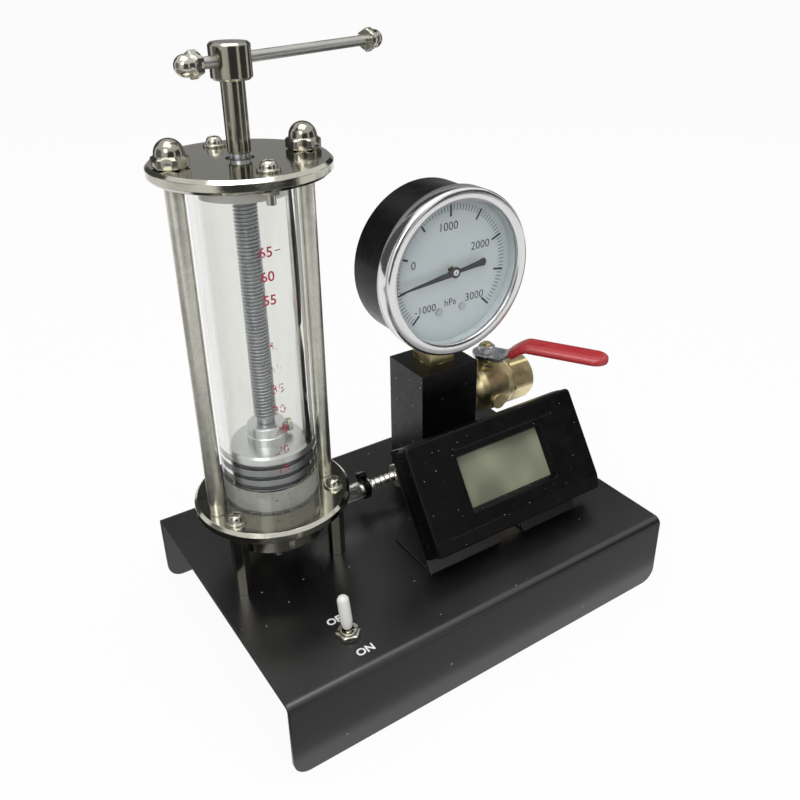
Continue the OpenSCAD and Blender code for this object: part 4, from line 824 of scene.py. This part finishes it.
@dataclass
class Tower:
    """The screw press: rods, plates' screws, domed nuts, spindle and cross bar."""
    lower: float = 63.5
    upper: float = 187.4
    pitch: float = 1.25
    major: float = 4.0
    minor: float = 3.2
    thread_lo: float = 95.4
    head_lo: float = 210.6
    bar_z: float = 216.2
    bar_turn: float = 19.7

    def round_about(self, turns: Sequence[float], radius: float, z: float) -> list:
        """Lists upright places on a circle round the tower's axis."""
        a = np.radians(turns)
        return [upright(TOWER.origin[0] + radius * c, TOWER.origin[1] + radius * s, z)
                for c, s in zip(np.cos(a), np.sin(a))]

    def screws(self) -> None:
        """Makes the screws on both plates and the nuts on the rods."""
        kit = Fasteners()
        low, high, nuts = Shapes(), Shapes(), Shapes()
        for place in self.round_about([-150, -30, 90], 22.85, self.lower):
            low.add(*kit.flange_screw(10.5), place)
        for place in self.round_about([-90, 90], 20.5, self.upper):
            high.add(*kit.flange_screw(10.1), place)
        for place in self.round_about([0, 180], 22.1, self.upper):
            nuts.add(*kit.domed_nut(10.0, 3.8, 4.6, 0.3), place)
        low.piece("plate_screw_set", NICKEL, "frame", "nickel", ["plate_screws"])
        high.piece("plate_bolt_set", NICKEL, "frame", "nickel", ["plate_bolts"])
        # The domed rod nuts take the nickel with a painted dark reflection
        nuts.piece("rod_nut_set", NICKEL_PAINTED_DARK, "frame", "nickel", ["acorn_nuts"])

    def spindle(self) -> None:
        """Makes the spindle with a real helical thread.

        The radius at height z and angle a is the minor radius plus the thread's depth times a
        rounded triangle wave of z / pitch - a / turn, faded out over one pitch at each end.
        """
        cols, per_pitch = 40, 13
        top = self.upper - 0.4
        n = int((top - self.thread_lo) / self.pitch * per_pitch)
        z = np.linspace(self.thread_lo, top, n)
        a = np.linspace(0.0, 2.0 * np.pi, cols, endpoint=False)
        phase = (z[:, None] / self.pitch - a[None, :] / (2.0 * np.pi)) % 1.0
        ridge = np.clip(1.6 * (1.0 - abs(2.0 * phase - 1.0)) - 0.25, 0.0, 1.0)
        fade = smoothstep((z - self.thread_lo) / self.pitch) * smoothstep((top - z) / self.pitch)
        radius = self.minor + (self.major - self.minor) * ridge * fade[:, None]
        ends_lo = [(0.0, 83.4), (2.5, 83.4), (2.5, 93.6), (self.minor, 93.6)]
        ends_hi = [(self.minor, self.upper + 1.6), (2.9, self.upper + 2.2), (2.9, self.head_lo + 3.0),
                   (0.0, self.head_lo + 3.0)]
        r_all = np.vstack([np.repeat([[r] for r, _ in ends_lo], cols, axis=1), radius,
                           np.repeat([[r] for r, _ in ends_hi], cols, axis=1)])
        z_all = np.concatenate([[h for _, h in ends_lo], z, [h for _, h in ends_hi]])
        points = np.stack([r_all * np.cos(a), r_all * np.sin(a),
                           np.repeat(z_all[:, None], cols, axis=1)], axis=-1).reshape(-1, 3)
        rod = Shapes()
        rod.add(points, grid_faces(len(z_all), cols), TOWER)
        rod.piece("threaded_spindle", THREAD, "screw", "grey_steel", ["spindle"], sharp=50.0)
        shank = Shapes()
        low, high = self.upper + 1.7, self.head_lo + 0.02
        wall = [(2.9, low), (3.4, low), (3.7, low + 0.35), (3.7, high), (2.9, high)]
        shank.add(*lathe(wall, 56, ring=True), TOWER)
        # The shank takes the nickel with a painted dark reflection
        shank.piece("spindle_shank", NICKEL_PAINTED_DARK, "screw", "nickel")

    def bar(self) -> None:
        """Makes the cross bar's domed nuts."""
        a = math.radians(self.bar_turn)
        way = (math.cos(a), math.sin(a), 0.0)
        back = (-way[0], -way[1], 0.0)
        nuts = Shapes()
        for reach, z_axis in ((63.3, way), (-12.6, back)):
            origin = (TOWER.origin[0] + reach * way[0], TOWER.origin[1] + reach * way[1], self.bar_z)
            nuts.add(*Fasteners().domed_nut(7.0, 3.2, 3.2, 1.28), along(origin, z_axis))
        nuts.piece("bar_nut_pair", NICKEL, "bar", "nickel", ["bar_nuts"])

    def piston(self) -> None:
        """Makes the piston, its bright crown and its rings.

        Their side lies a hair over the bore's radius, because grease wets it to the tube: with
        air between them, the tube would bend the light and make the piston look too narrow.
        """
        low, high, side, crown = 72.1, 86.3, 14.155, 83.1
        profile = [(0.0, low), (13.6, low), (side, low + 0.5)]
        body, top, rings = Shapes(), Shapes(), Shapes()
        for middle in (1.6, 5.6, 9.8):
            z = low + middle
            profile += [(side, z - 0.8), (side - 1.2, z - 0.7), (side - 1.2, z + 0.7), (side, z + 0.8)]
            rings.add(*lathe(arc((side - 0.66, z), 0.66, 0.0, 330.0, 11), 160, ring=True), TOWER)
        body.add(*lathe(profile + [(side, crown), (0.0, crown)], 160), TOWER)
        top.add(*lathe([(0.0, crown + 0.01), (side, crown + 0.01), (side, high - 0.9),
                        (side - 0.6, high - 0.08), (13.2, high), (0.0, high)], 160), TOWER)
        body.piece("piston_body", GREASED, "piston", "aluminium", ["piston"])
        top.piece("piston_crown", ALUMINIUM, "piston", "aluminium")
        rings.piece("piston_seals", RUBBER, "piston", "black_rubber", ["piston_rings"])

    def grease(self) -> None:
        """Smears the film of grease that the piston leaves under it, a thin ring on the bore."""
        inner, outer, low, high = 14.157, 14.167, 63.6, 72.0
        film = Shapes()
        film.add(*lathe([(inner, low), (outer, low), (outer, high), (inner, high)], 160, ring=True), TOWER)
        film.piece("grease_film", GREASE, "frame", "clear_acrylic")

    def tube(self) -> None:
        """Makes the clear tube: a smooth ring profile with small broken edges at both ends."""
        inner, outer, low, high, edge = 14.15, 17.5, 63.0, 183.4, 0.2
        profile = [(inner, low + edge), (inner + edge, low), (outer - edge, low), (outer, low + edge),
                   (outer, high - edge), (outer - edge, high), (inner + edge, high), (inner, high - edge)]
        tube = Shapes()
        tube.add(*lathe(profile, 240, ring=True), TOWER)
        tube.piece("clear_tube", ACRYLIC, "frame", "clear_acrylic", ["cylinder_tube"])

    def scale(self) -> None:
        """Prints the volume numbers and the tick round the tube, worn most in the middle.

        A number's height over the floor is the scale's foot plus its volume times the rise.
        """
        foot, rise = 58.5, 1.59
        marks, faded, traces = Shapes(), Shapes(), Shapes()
        for volume in range(15, 70, 5):
            print_of = marks if volume > 50 else traces if volume > 35 else faded
            print_of.add(*lettering(str(volume), 3.4, 0.02), Rolled(-96.5, foot + rise * volume))
        bar = np.array([[-1.0, -0.16], [1.0, -0.16], [1.0, 0.16], [-1.0, 0.16]])
        marks.add(*plate(bar, 0.0, 0.01), Rolled(-83.0, foot + rise * 65))
        marks.piece("tube_numbers", CRIMSON, "frame", "clear_acrylic", mend=False)
        faded.piece("tube_numbers_worn", FADED, "frame", "clear_acrylic", mend=False)
        traces.piece("tube_number_traces", TRACES, "frame", "clear_acrylic", mend=False)

    def build(self) -> None:
        """Builds the tower's own pieces."""
        self.screws()
        self.spindle()
        self.bar()
        self.piston()
        self.tube()
        self.grease()
        self.scale()


@dataclass
class GasLine:
    """The clear hose from the boss to the block, and the two ties that clamp it."""
    start: float = -49.4
    end: float = -8.4
    y: float = 16.3
    z: float = 42.1
    radius: float = 3.5
    bore: float = 2.45
    tie_w: float = 2.6

    def hose(self) -> None:
        """Makes the hose.

        Its radius at x is the plain radius plus a low ripple over the last 12 mm at each end, where the
        barbs stretch it.
        """
        t = np.linspace(self.start + 0.3, self.end - 0.3, 160)
        near_end = np.minimum(t - self.start, self.end - t)
        swell = 0.1 * (1.0 - smoothstep((near_end - 9.0) / 4.0)) * np.sin(near_end * 2.0) ** 2
        outer = list(zip(self.radius - 0.08 + swell, t - self.start))
        length = self.end - self.start
        profile = [(self.bore, 0.1), (self.bore + 0.2, 0.0), (self.radius - 0.35, 0.0)] + outer
        profile += [(self.radius - 0.35, length), (self.bore + 0.2, length), (self.bore, length - 0.1)]
        tube = Shapes()
        tube.add(*lathe(profile, 56, ring=True), along((self.start, self.y, self.z), (1.0, 0.0, 0.0)))
        tube.piece("clear_hose_run", HOSE, "frame", "clear_hose", ["hose"], sharp=50.0)

    def ties(self) -> None:
        """Makes the ties: a ribbed strap, a ratchet head and a cut tail each."""
        kit = Shapes()
        for x, turn in ((self.end - 4.4, -25.0), (self.start + 3.0, 100.0)):
            c, s = math.cos(math.radians(turn)), math.sin(math.radians(turn))
            place = Place((x, self.y, self.z), (0.0, s, -c), (0.0, c, s), (1.0, 0.0, 0.0))
            inner, outer = self.radius + 0.02, self.radius + 1.0
            strap = [(inner, 0.0), (outer - 0.2, 0.0), (outer, 0.2), (outer, 0.8), (outer - 0.15, 0.9),
                     (outer - 0.15, 1.7), (outer, 1.8), (outer, self.tie_w - 0.2), (outer - 0.2, self.tie_w),
                     (inner, self.tie_w)]
            kit.add(*lathe(strap, 64, ring=True), place)
            for foot, block in (((-self.radius - 3.3, -2.0, -0.4), slab(4.0, 3.4, 0.0, 2.6, 0.5, 0.35)),
                                ((-self.radius - 2.6, -3.6, 0.3), slab(2.0, 2.0, 0.0, 1.0, 0.2, 0.15))):
                kit.add(*block, Place(tuple(place.put(np.array([foot]))[0]), place.y, place.z, place.x))
        kit.piece("hose_ties", MOULDED, "frame", "black_plastic", ["cable_ties"])

    def build(self) -> None:
        """Builds the hose and its ties."""
        self.hose()
        self.ties()


@dataclass
class Gauge:
    """The pressure gauge's rolled bezel, spacer ring, printed dial and pointer."""
    front: float = -1.2
    dial_y: float = 5.4
    window: float = 28.1
    outer: float = 32.9
    seat: float = 31.42
    ring: float = 30.2
    tick_end: float = 25.8
    rest: float = 187.0

    def bezel(self) -> None:
        """Makes the rolled bezel: a lip over the glass, a rounded rim and a straight skirt."""
        glass = 1.2
        profile = [(self.window, glass), (self.window, 0.75)]
        profile += arc((self.window + 0.6, 0.75), 0.6, 180.0, 250.0, 4)
        profile += [(self.window + 1.6, 0.04)]
        profile += arc((self.outer - 1.5, 1.5), 1.5, -90.0, 0.0, 10)
        profile += [(self.outer, 6.9), (self.outer - 0.4, 7.4), (self.seat, 7.4), (self.seat, 2.72),
                    (self.ring, 2.72), (self.ring, glass)]
        rim = Shapes()
        points, faces = lathe(profile, 144, ring=True)
        points[:, 2] *= -1.0
        rim.add(points, faces, facing_front(self.front))
        rim.piece("rolled_bezel", CHROME, "frame", "chrome_bezel", ["gauge_bezel"], sharp=40.0)

    def spacer(self) -> None:
        """Makes the pale ring that holds the glass off the dial."""
        low, high = 0.02, self.dial_y - self.front - 2.75
        ring = Shapes()
        ring.add(*lathe([(28.5, low), (29.3, low), (29.3, high), (28.5, high), (28.35, high - 0.3),
                         (28.35, low + 0.3)], 120, ring=True), facing_front(self.dial_y))
        ring.piece("dial_spacer", ENAMEL, "frame", "white_enamel")

    @staticmethod
    def turn_of(pressure: float) -> float:
        """Returns the dial's angle in radians for a pressure in hPa."""
        return math.radians(91.0 - (pressure - 1000.0) / 1000.0 * 67.5)

    def print_dial(self) -> None:
        """Prints the scale: a tick each 50 hPa, a bolder one each 500, and plain numbers."""
        marks = Shapes()
        face = facing_front(self.dial_y - 0.015)
        for step in range(-1000, 3001, 50):
            bold = step % 500 == 0
            half, inner = (0.42, 21.2) if bold else (0.13, 23.3)
            a = self.turn_of(step)
            along_r, across = np.array([math.cos(a), math.sin(a)]), np.array([-math.sin(a), math.cos(a)])
            corners = [inner * along_r + half * across, inner * along_r - half * across,
                       self.tick_end * along_r - half * across, self.tick_end * along_r + half * across]
            marks.add(*plate(np.array(corners), 0.0, 0.02), face)
        for words, u, v, height in (
                ("1000", -1.1, 17.6, 3.3), ("2000", 13.8, 7.7, 3.3), ("3000", 11.6, -12.8, 3.3),
                ("-1000", -11.9, -13.4, 3.1), ("0", -17.3, 5.4, 3.3), ("hPa", -0.1, -12.9, 2.9)):
            points, faces = lettering(words, height)
            marks.add(points + np.array([u, v, 0.01]), faces, face)
        marks.piece("dial_scale", DIAL_INK, "frame", "white_enamel", mend=False)

    def pointer(self) -> None:
        """Makes the pointer: a long taper, a tail that swells to a disc, and a turned hub."""
        tip, tail = 25.4, 12.8
        half_turn = np.radians(np.linspace(115.0, 245.0, 21))
        blob = np.column_stack([-tail + 1.8 * np.cos(half_turn), 1.8 * np.sin(half_turn)])
        outline = np.vstack([[[1.6, -1.25], [tip, -0.2], [tip, 0.2], [1.6, 1.25]],
                             [[-2.0, 0.75], [-tail + 2.4, 1.1]], blob, [[-tail + 2.4, -1.1], [-2.0, -0.75]]])
        a = math.radians(self.rest)
        place = Place((DIAL_AXIS[0], 2.6, DIAL_AXIS[1]), (math.cos(a), 0.0, math.sin(a)),
                      (-math.sin(a), 0.0, math.cos(a)), (0.0, -1.0, 0.0))
        arm, cap = Shapes(), Shapes()
        arm.add(*plate(outline, 0.0, 0.36), place)
        arm.add(*lathe([(0.0, 0.0), (2.1, 0.0), (2.2, 0.1), (2.2, 0.5), (2.05, 0.62), (0.0, 0.62)], 40),
                place)
        arm.piece("dial_pointer", POINTER, "needle", "pointer_black", ["gauge_pointer"])
        cap.add(*lathe([(0.0, 0.5), (1.25, 0.5), (1.3, 0.6), (1.2, 0.7), (0.4, 0.7), (0.3, 0.58),
                        (0.0, 0.58)], 32), place)
        cap.piece("pointer_boss", ZINC, "needle", "zinc_steel")

    def build(self) -> None:
        """Builds the gauge's own pieces."""
        self.bezel()
        self.spacer()
        self.print_dial()
        self.pointer()


@dataclass
class ValveHandle:
    """The valve's dipped grip and its nut."""
    turn: float = -59.3
    foot_z: float = 86.6
    steel_t: float = 1.6
    bend_a: float = 7.6
    bend_b: float = 18.6
    lift: float = 7.0
    start: float = 11.5
    end: float = 52.4
    half_w: float = 5.7
    half_t: float = 2.1

    def grip(self) -> None:
        """Makes the dipped grip, a rounded section carried along the bent strip.

        The centre rises with a blend of a straight ramp and a smooth step between the bends. The
        section at distance d is a superellipse of power 2.7; its width ends in a half circle at
        the tip, where its thickness falls as the fourth root of the width, and it starts with a lip.
        """
        length = self.end - self.start
        round_end = length - self.half_w * (1 - np.sin(np.linspace(0.06, 1.0, 18) * np.pi / 2))
        s = np.concatenate([[0.0, 0.15, 0.4, 0.8], np.linspace(1.5, length - self.half_w, 46), round_end])
        d = self.start + s
        left = np.clip((self.end - d) / self.half_w, 0.0, 1.0)
        width = np.sqrt(np.clip(1.0 - (1.0 - left) ** 2, 0.0, 1.0))
        lip = np.interp(s, [0.0, 0.15, 0.4, 0.8, 1.5], [0.0, 0.8, 0.92, 0.98, 1.0])
        ramp = np.clip((d - self.bend_a) / (self.bend_b - self.bend_a), 0.0, 1.0)
        centre = self.foot_z + self.steel_t / 2 + self.lift * (0.5 * ramp + 0.5 * smoothstep(ramp))
        slope = np.gradient(centre, d + np.arange(len(d)) * 1e-6)
        a = np.linspace(0.0, 2.0 * np.pi, 48, endpoint=False)
        power = 2.0 / 2.7
        c = np.sign(np.cos(a)) * abs(np.cos(a)) ** power
        n = np.sign(np.sin(a)) * abs(np.sin(a)) ** power
        u = np.outer(width * lip * self.half_w, c)
        v = np.outer(width ** 0.45 * lip * self.half_t, n)
        tilt = np.arctan(slope)[:, None]
        points = np.stack([d[:, None] - v * np.sin(tilt), u, centre[:, None] + v * np.cos(tilt)], axis=-1)
        c0, s0 = math.cos(math.radians(self.turn)), math.sin(math.radians(self.turn))
        grip = Shapes()
        grip.add(points.reshape(-1, 3), grid_faces(len(d), 48),
                 Place((STEM[0], STEM[1], 0.0), (c0, s0, 0.0), (-s0, c0, 0.0)))
        grip.piece("dipped_grip", VINYL, "valve_handle", "red_vinyl", ["lever_grip"], sharp=60.0)

    def nut(self) -> None:
        """Makes the handle's chamfered nut."""
        low, high, far = 0.0, 3.2, 3.7
        profile = [(1.94, low), (3.1, low), (far, low + 0.3), (far, high - 0.35), (3.05, high), (2.25, high),
                   (1.94, high - 0.3)]
        nut = Shapes()
        nut.add(*hex_lathe(profile, 6.4, ring=True), upright(STEM[0], STEM[1], self.foot_z + self.steel_t))
        nut.piece("handle_nut", ZINC, "valve_handle", "zinc_steel", ["lever_nut"])

    def build(self) -> None:
        """Builds the handle's own pieces."""
        self.grip()
        self.nut()


@dataclass
class Thermometer:
    """The thermometer's moulded front, with its bevelled window, grooves and sloping lower strip."""
    width: float = 83.3
    height: float = 43.5
    depth: float = 7.0
    wall: float = 1.6
    strip: float = 5.8
    edge: float = 1.1
    window: Tuple[float, float, float, float] = (20.15, 11.0, 43.0, 22.5)
    sight: Tuple[float, float, float, float] = (21.3, 12.6, 40.8, 20.2)

    def relief(self, x: np.ndarray, y: np.ndarray) -> np.ndarray:
        """Works out how far the face lies below its plane.

        The strip falls in a straight slope from its upper edge, and each groove is a bell-shaped
        valley across y that fades out at its two ends along x.

        Args:
            x: Distances along the housing.
            y: Distances up its slope.

        Returns:
            Depths below the face, in millimetres.
        """
        low = 0.9 * np.clip((self.strip - y) / (self.strip - self.edge), 0.0, 1.0)
        for centre, start, end in ((36.4, 20.0, 70.0), (5.7, 0.0, 33.0)):
            along_x = smoothstep((x - start) / 1.2) * smoothstep((end - x) / 1.2)
            low = low + 0.38 * np.exp(-((y - centre) / 0.24) ** 2) * along_x
        return low

    def front(self) -> None:
        """Makes the front shell as one closed surface.

        Rows of points are loops round rectangles: up the outer wall, over a rounded edge, in a
        straight blend from the edge to the window, down the window's sloping walls, and back
        under the face to the rim.
        """
        side, bend = 64, 8

        def loop(x: float, y: float, w: float, h: float, corner: float) -> Points:
            """Walks one rectangle at its place on the face."""
            return rounded_loop(w, h, corner, side, bend) + np.array([x, y])

        def inset(i: float) -> Points:
            """Walks the housing's outline, moved inwards."""
            return loop(i, i, self.width - 2 * i, self.height - 2 * i, max(1.9 - i, 0.3))

        rows, heights = [inset(0.0), inset(0.0)], [-self.depth, -self.edge]
        for r, z in arc((self.edge, -self.edge), self.edge, 165.0, 90.0, 6):
            rows.append(inset(r))
            heights.append(z)
        window = loop(*self.window, 0.9)
        first = rows[-1]
        for share in np.concatenate([np.linspace(0.02, 0.98, 62), [1.0]]):
            rows.append(first * (1 - share) + window * share)
            heights.append(0.0)
        face_end = len(rows)
        sight = loop(*self.sight, 0.4)
        for share, z in ((0.06, -0.12), (0.2, -0.5), (0.6, -1.7), (1.0, -2.9)):
            rows.append(window * (1 - share) + sight * share)
            heights.append(z)
        rows += [sight, inset(self.wall), inset(self.wall)]
        heights += [-3.0, -3.0, -self.depth]
        flat = np.array(rows)
        z = np.repeat(np.array(heights)[:, None], flat.shape[1], axis=1)
        face = np.arange(1, face_end)
        z[face] -= self.relief(flat[face, :, 0], flat[face, :, 1])
        points = np.concatenate([flat, z[:, :, None]], axis=-1).reshape(-1, 3)
        shell = Shapes()
        shell.add(points, grid_faces(len(rows), flat.shape[1], close_rows=True), THERMO)
        shell.piece("moulded_front", MOULDED, "frame", "black_plastic", ["thermo_front"], sharp=38.0)

    def build(self) -> None:
        """Builds the front."""
        self.front()


@dataclass
class Switch:
    """The toggle switch above the deck: nut, threaded sleeve, cap, and the words beside it."""
    lean: float = 12.0
    pivot: float = 32.7
    nut_h: float = 2.2

    def nut_and_sleeve(self) -> None:
        """Makes the chamfered nut and the threaded sleeve inside it."""
        nut, sleeve = Shapes(), Shapes()
        at = upright(SWITCH[0], SWITCH[1], DECK)
        nut.add(*hex_lathe([(3.04, 0.0), (3.9, 0.0), (4.62, 0.25), (4.62, self.nut_h - 0.3),
                            (3.85, self.nut_h), (3.3, self.nut_h), (3.04, self.nut_h - 0.25)],
                           8.0, ring=True, turn=12.0), at)
        nut.piece("switch_lock_nut", NICKEL, "frame", "nickel", ["switch_nut"])
        wave = [(3.01 - 0.09 * (i % 2), 0.05 + 0.25 * i) for i in range(10)]
        sleeve.add(*lathe([(2.28, 0.0)] + wave + [(2.75, 2.62), (2.28, 2.62)], 48, ring=True), at)
        sleeve.piece("switch_sleeve", NICKEL, "frame", "nickel")

    def cap(self) -> None:
        """Makes the lever's white cap: a tapered neck, a straight body and a round end."""
        a = math.radians(self.lean)
        place = Place((SWITCH[0], SWITCH[1], self.pivot), (1.0, 0.0, 0.0), (0.0, math.cos(a), -math.sin(a)),
                      (0.0, math.sin(a), math.cos(a)))
        profile = [(1.26, 2.35), (1.6, 2.3), (1.7, 2.45), (1.85, 3.3), (2.03, 4.2), (2.14, 4.9), (2.17, 5.4),
                   (2.14, 12.6)]
        profile += arc((0.0, 12.8), 2.14, 0.0, 90.0, 12) + [(0.0, 12.3), (1.26, 12.3)]
        cap = Shapes()
        cap.add(*lathe(profile, 56, ring=True), place)
        cap.piece("toggle_cap", WHITE, "toggle", "white_plastic", ["switch_cap"], sharp=50.0)

    def words(self) -> None:
        """Prints ON and OFF on the deck."""
        marks = Shapes()
        for word, x, y in (("OFF", -54.0, -34.0), ("ON", -53.0, -52.0)):
            marks.add(*lettering(word, 3.1, 0.04), upright(x, y, DECK + 0.02))
        marks.piece("switch_words", WHITE_INK, "frame", "white_enamel", mend=False)

    def build(self) -> None:
        """Builds the switch's own pieces."""
        self.nut_and_sleeve()
        self.cap()
        self.words()


def slab(width: float, height: float, low: float, high: float, corner: float,
         edge: float) -> Tuple[Points, np.ndarray]:
    """Makes a block with rounded corners and edges.

    Loops of its outline, moved in along a quarter circle at each edge, are stacked from the
    middle of its lower face to the middle of its upper one.

    Args:
        width: Its size along x, from 0.
        height: Its size along y, from 0.
        low: Its lowest z.
        high: Its highest z.
        corner: Radius of its corners in plan.
        edge: Radius of its edges.

    Returns:
        The points and the quads.
    """
    steps = [(edge - edge * math.cos(q), edge - edge * math.sin(q)) for q in np.linspace(0, math.pi / 2, 5)]
    rows, heights = [], []
    for i, z in [(i, low + j) for i, j in reversed(steps)] + [(i, high - j) for i, j in steps]:
        rows.append(rounded_loop(width - 2 * i, height - 2 * i, max(corner - i, 0.05), 4, 5) + i)
        heights.append(z)
    middle = np.full_like(rows[0], 0.0) + np.array([width / 2, height / 2])
    flat = np.array([middle] + rows + [middle])
    z = np.repeat(np.array([heights[0]] + heights + [heights[-1]])[:, None], flat.shape[1], axis=1)
    return np.concatenate([flat, z[:, :, None]], axis=-1).reshape(-1, 3), grid_faces(len(flat), flat.shape[1])


# ---------- stage ----------

@dataclass
class Studio:
    """The floor, the backdrop light, the lamps, the dark screens and the camera."""
    camera_at: Vec = (-0.15730, -0.23628, 0.24723)
    azimuth: float = -33.892
    elevation: float = 26.899
    roll: float = -0.499
    lens: float = 37.76
    shift: Tuple[float, float] = (-0.0129, -0.0433)
    sky: float = 0.46
    glow: float = 0.94

    @staticmethod
    def seen_rays(nodes: Tree) -> bpy.types.NodeSocket:
        """Returns 1 for camera, glossy and transmission rays, and 0 for the rest."""
        path = nodes.add("LightPath").outputs
        both = nodes.maths("MAXIMUM", path["Is Camera Ray"], path["Is Glossy Ray"])
        return nodes.maths("MAXIMUM", both, path["Is Transmission Ray"])

    def floor(self) -> None:
        """Lays a white floor that keeps a soft shadow."""
        mesh = bpy.data.meshes.new("floor")
        mesh.from_pydata([(-40, -40, 0), (40, -40, 0), (40, 40, 0), (-40, 40, 0)], [], [(0, 1, 2, 3)])
        floor = bpy.data.objects.new("floor", mesh)
        bpy.context.scene.collection.objects.link(floor)
        material = bpy.data.materials.new("studio_floor")
        material.use_nodes = True
        material.node_tree.nodes.clear()
        nodes = Tree(material.node_tree)
        plain = nodes.add("BsdfDiffuse", {"Color": (0.8, 0.8, 0.8)}).outputs[0]
        glow = nodes.add("Emission", {"Color": (1.0, 1.0, 1.0), "Strength": 1.0}).outputs[0]
        share = nodes.maths("MULTIPLY", self.seen_rays(nodes), self.glow)
        mix = nodes.add("MixShader", {0: share, 1: plain, 2: glow}).outputs[0]
        nodes.add("OutputMaterial", {"Surface": mix})
        mesh.materials.append(material)

    def world(self) -> None:
        """Makes a white surround for what is seen, and a plain sky for the light."""
        world = bpy.data.worlds.new("studio")
        bpy.context.scene.world = world
        world.use_nodes = True
        world.node_tree.nodes.clear()
        nodes = Tree(world.node_tree)
        dim = nodes.add("Background", {"Color": (1.0, 1.0, 1.0), "Strength": self.sky}).outputs[0]
        white = nodes.add("Background", {"Color": (1.0, 1.0, 1.0), "Strength": 1.0}).outputs[0]
        mix = nodes.add("MixShader", {0: self.seen_rays(nodes), 1: dim, 2: white}).outputs[0]
        nodes.add("OutputWorld", {"Surface": mix})

    def lamp(self, name: str, at: Vec, target: Vec, size: float, power: float) -> None:
        """Hangs a square soft lamp that faces a target."""
        light = bpy.data.lights.new(name, "AREA")
        light.size = size
        light.energy = power
        lamp = bpy.data.objects.new(name, light)
        away = np.array(at) - np.array(target)
        place = along((0.0, 0.0, 0.0), tuple(away), (0.0, 0.0, 1.0) if abs(away[0]) + abs(away[1]) > 1e-3
                      else (0.0, 1.0, 0.0))
        lamp.matrix_world = Matrix(np.column_stack([place.x, place.y, place.z, at]).tolist()
                                   + [[0.0, 0.0, 0.0, 1.0]])
        bpy.context.scene.collection.objects.link(lamp)

    def screen(self, name: str, place: Place, width: float, height: float, tone: float) -> None:
        """Puts up a dark card of a given tone that only reflections see.

        Args:
            name: The card's name.
            place: Its middle, in metres, with its z towards the object.
            width: Its width.
            height: Its height.
            tone: How light it looks, from 0 to 1.
        """
        corners = np.array([[-width, -height, 0], [width, -height, 0], [width, height, 0],
                            [-width, height, 0]]) / 2.0
        mesh = bpy.data.meshes.new(name)
        mesh.from_pydata(place.put(corners).tolist(), [], [(0, 1, 2, 3)])
        material = bpy.data.materials.new(name)
        material.use_nodes = True
        material.node_tree.nodes.clear()
        nodes = Tree(material.node_tree)
        dark = nodes.add("Emission", {"Color": (tone, tone, tone), "Strength": 1.0}).outputs[0]
        nodes.add("OutputMaterial", {"Surface": dark})
        mesh.materials.append(material)
        screen = bpy.data.objects.new(name, mesh)
        bpy.context.scene.collection.objects.link(screen)
        for ray in ("camera", "diffuse", "transmission", "volume_scatter", "shadow"):
            setattr(screen, "visible_" + ray, False)

    def cards(self) -> None:
        """Stands dark cards round the object, with bright gaps between them, and lays some down."""
        for name, turn, away, width, height, tone in (
                ("card_back", 60.0, 0.85, 1.1, 0.85, 0.04), ("card_back_low", 66.0, 0.82, 0.8, 0.47, 0.3),
                ("card_back_left", 112.0, 0.85, 0.55, 0.8, 0.08), ("card_left", 170.0, 0.85, 0.7, 0.6, 0.25),
                ("card_front", 258.0, 0.85, 0.75, 0.62, 0.08), ("card_right", 318.0, 0.85, 0.7, 0.6, 0.08),
                ("card_far_right", 8.0, 0.85, 0.4, 0.55, 0.1)):
            c, s = math.cos(math.radians(turn)), math.sin(math.radians(turn))
            self.screen(name, along((away * c, away * s, height / 2.0), (-c, -s, 0.0)), width, height, tone)
        for name, x, y, width, height, tone in (
                ("card_low_left", -0.145, 0.0, 0.11, 0.25, 0.02),
                ("card_mid_left", -0.42, 0.1, 0.44, 0.5, 0.35),
                ("card_low_front", 0.02, -0.135, 0.5, 0.14, 0.4),
                ("card_far_front", -0.15, -0.62, 1.3, 0.35, 0.05),
                ("card_low_right", 0.4, 0.1, 0.5, 0.5, 0.12)):
            self.screen(name, along((x, y, 0.002), (0.0, 0.0, 1.0), (0.0, 1.0, 0.0)), width, height, tone)

    def camera(self) -> None:
        """Sets the camera at the photograph's view."""
        a, e, r = (math.radians(v) for v in (self.azimuth, self.elevation, self.roll))
        forward = np.array([-math.sin(a) * math.cos(e), math.cos(a) * math.cos(e), -math.sin(e)])
        right = np.array([math.cos(a), math.sin(a), 0.0])
        up = np.cross(right, forward)
        turned = right * math.cos(r) + up * math.sin(r), up * math.cos(r) - right * math.sin(r)
        data = bpy.data.cameras.new("camera")
        data.lens = self.lens
        data.sensor_width = 36.0
        data.shift_x, data.shift_y = self.shift
        data.clip_start = 0.01
        camera = bpy.data.objects.new("camera", data)
        columns = np.column_stack([turned[0], turned[1], -forward, self.camera_at])
        camera.matrix_world = Matrix(columns.tolist() + [[0.0, 0.0, 0.0, 1.0]])
        bpy.context.scene.collection.objects.link(camera)
        bpy.context.scene.camera = camera

    def build(self) -> None:
        """Builds the stage."""
        self.floor()
        self.world()
        self.lamp("overhead", (-0.1, -0.1, 1.15), (0.0, 0.0, 0.1), 0.8, 7.5)
        self.lamp("from_left", (-0.8, -0.75, 0.85), (0.0, 0.0, 0.1), 0.5, 3.5)
        self.cards()
        self.camera()
        bpy.context.scene.view_settings.view_transform = "Standard"


def main() -> None:
    """Builds the scene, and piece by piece."""
    logging.basicConfig(level=logging.INFO, format="%(name)s: %(message)s")
    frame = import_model()
    Studio().build()
    dress_nodes(frame)
    for part in (Tower(), GasLine(), Gauge(), ValveHandle(), Thermometer(), Switch()):
        part.build()
        LOG.info("built %s", type(part).__name__)
    bpy.context.view_layer.update()


if __name__ == "__main__":
    main()
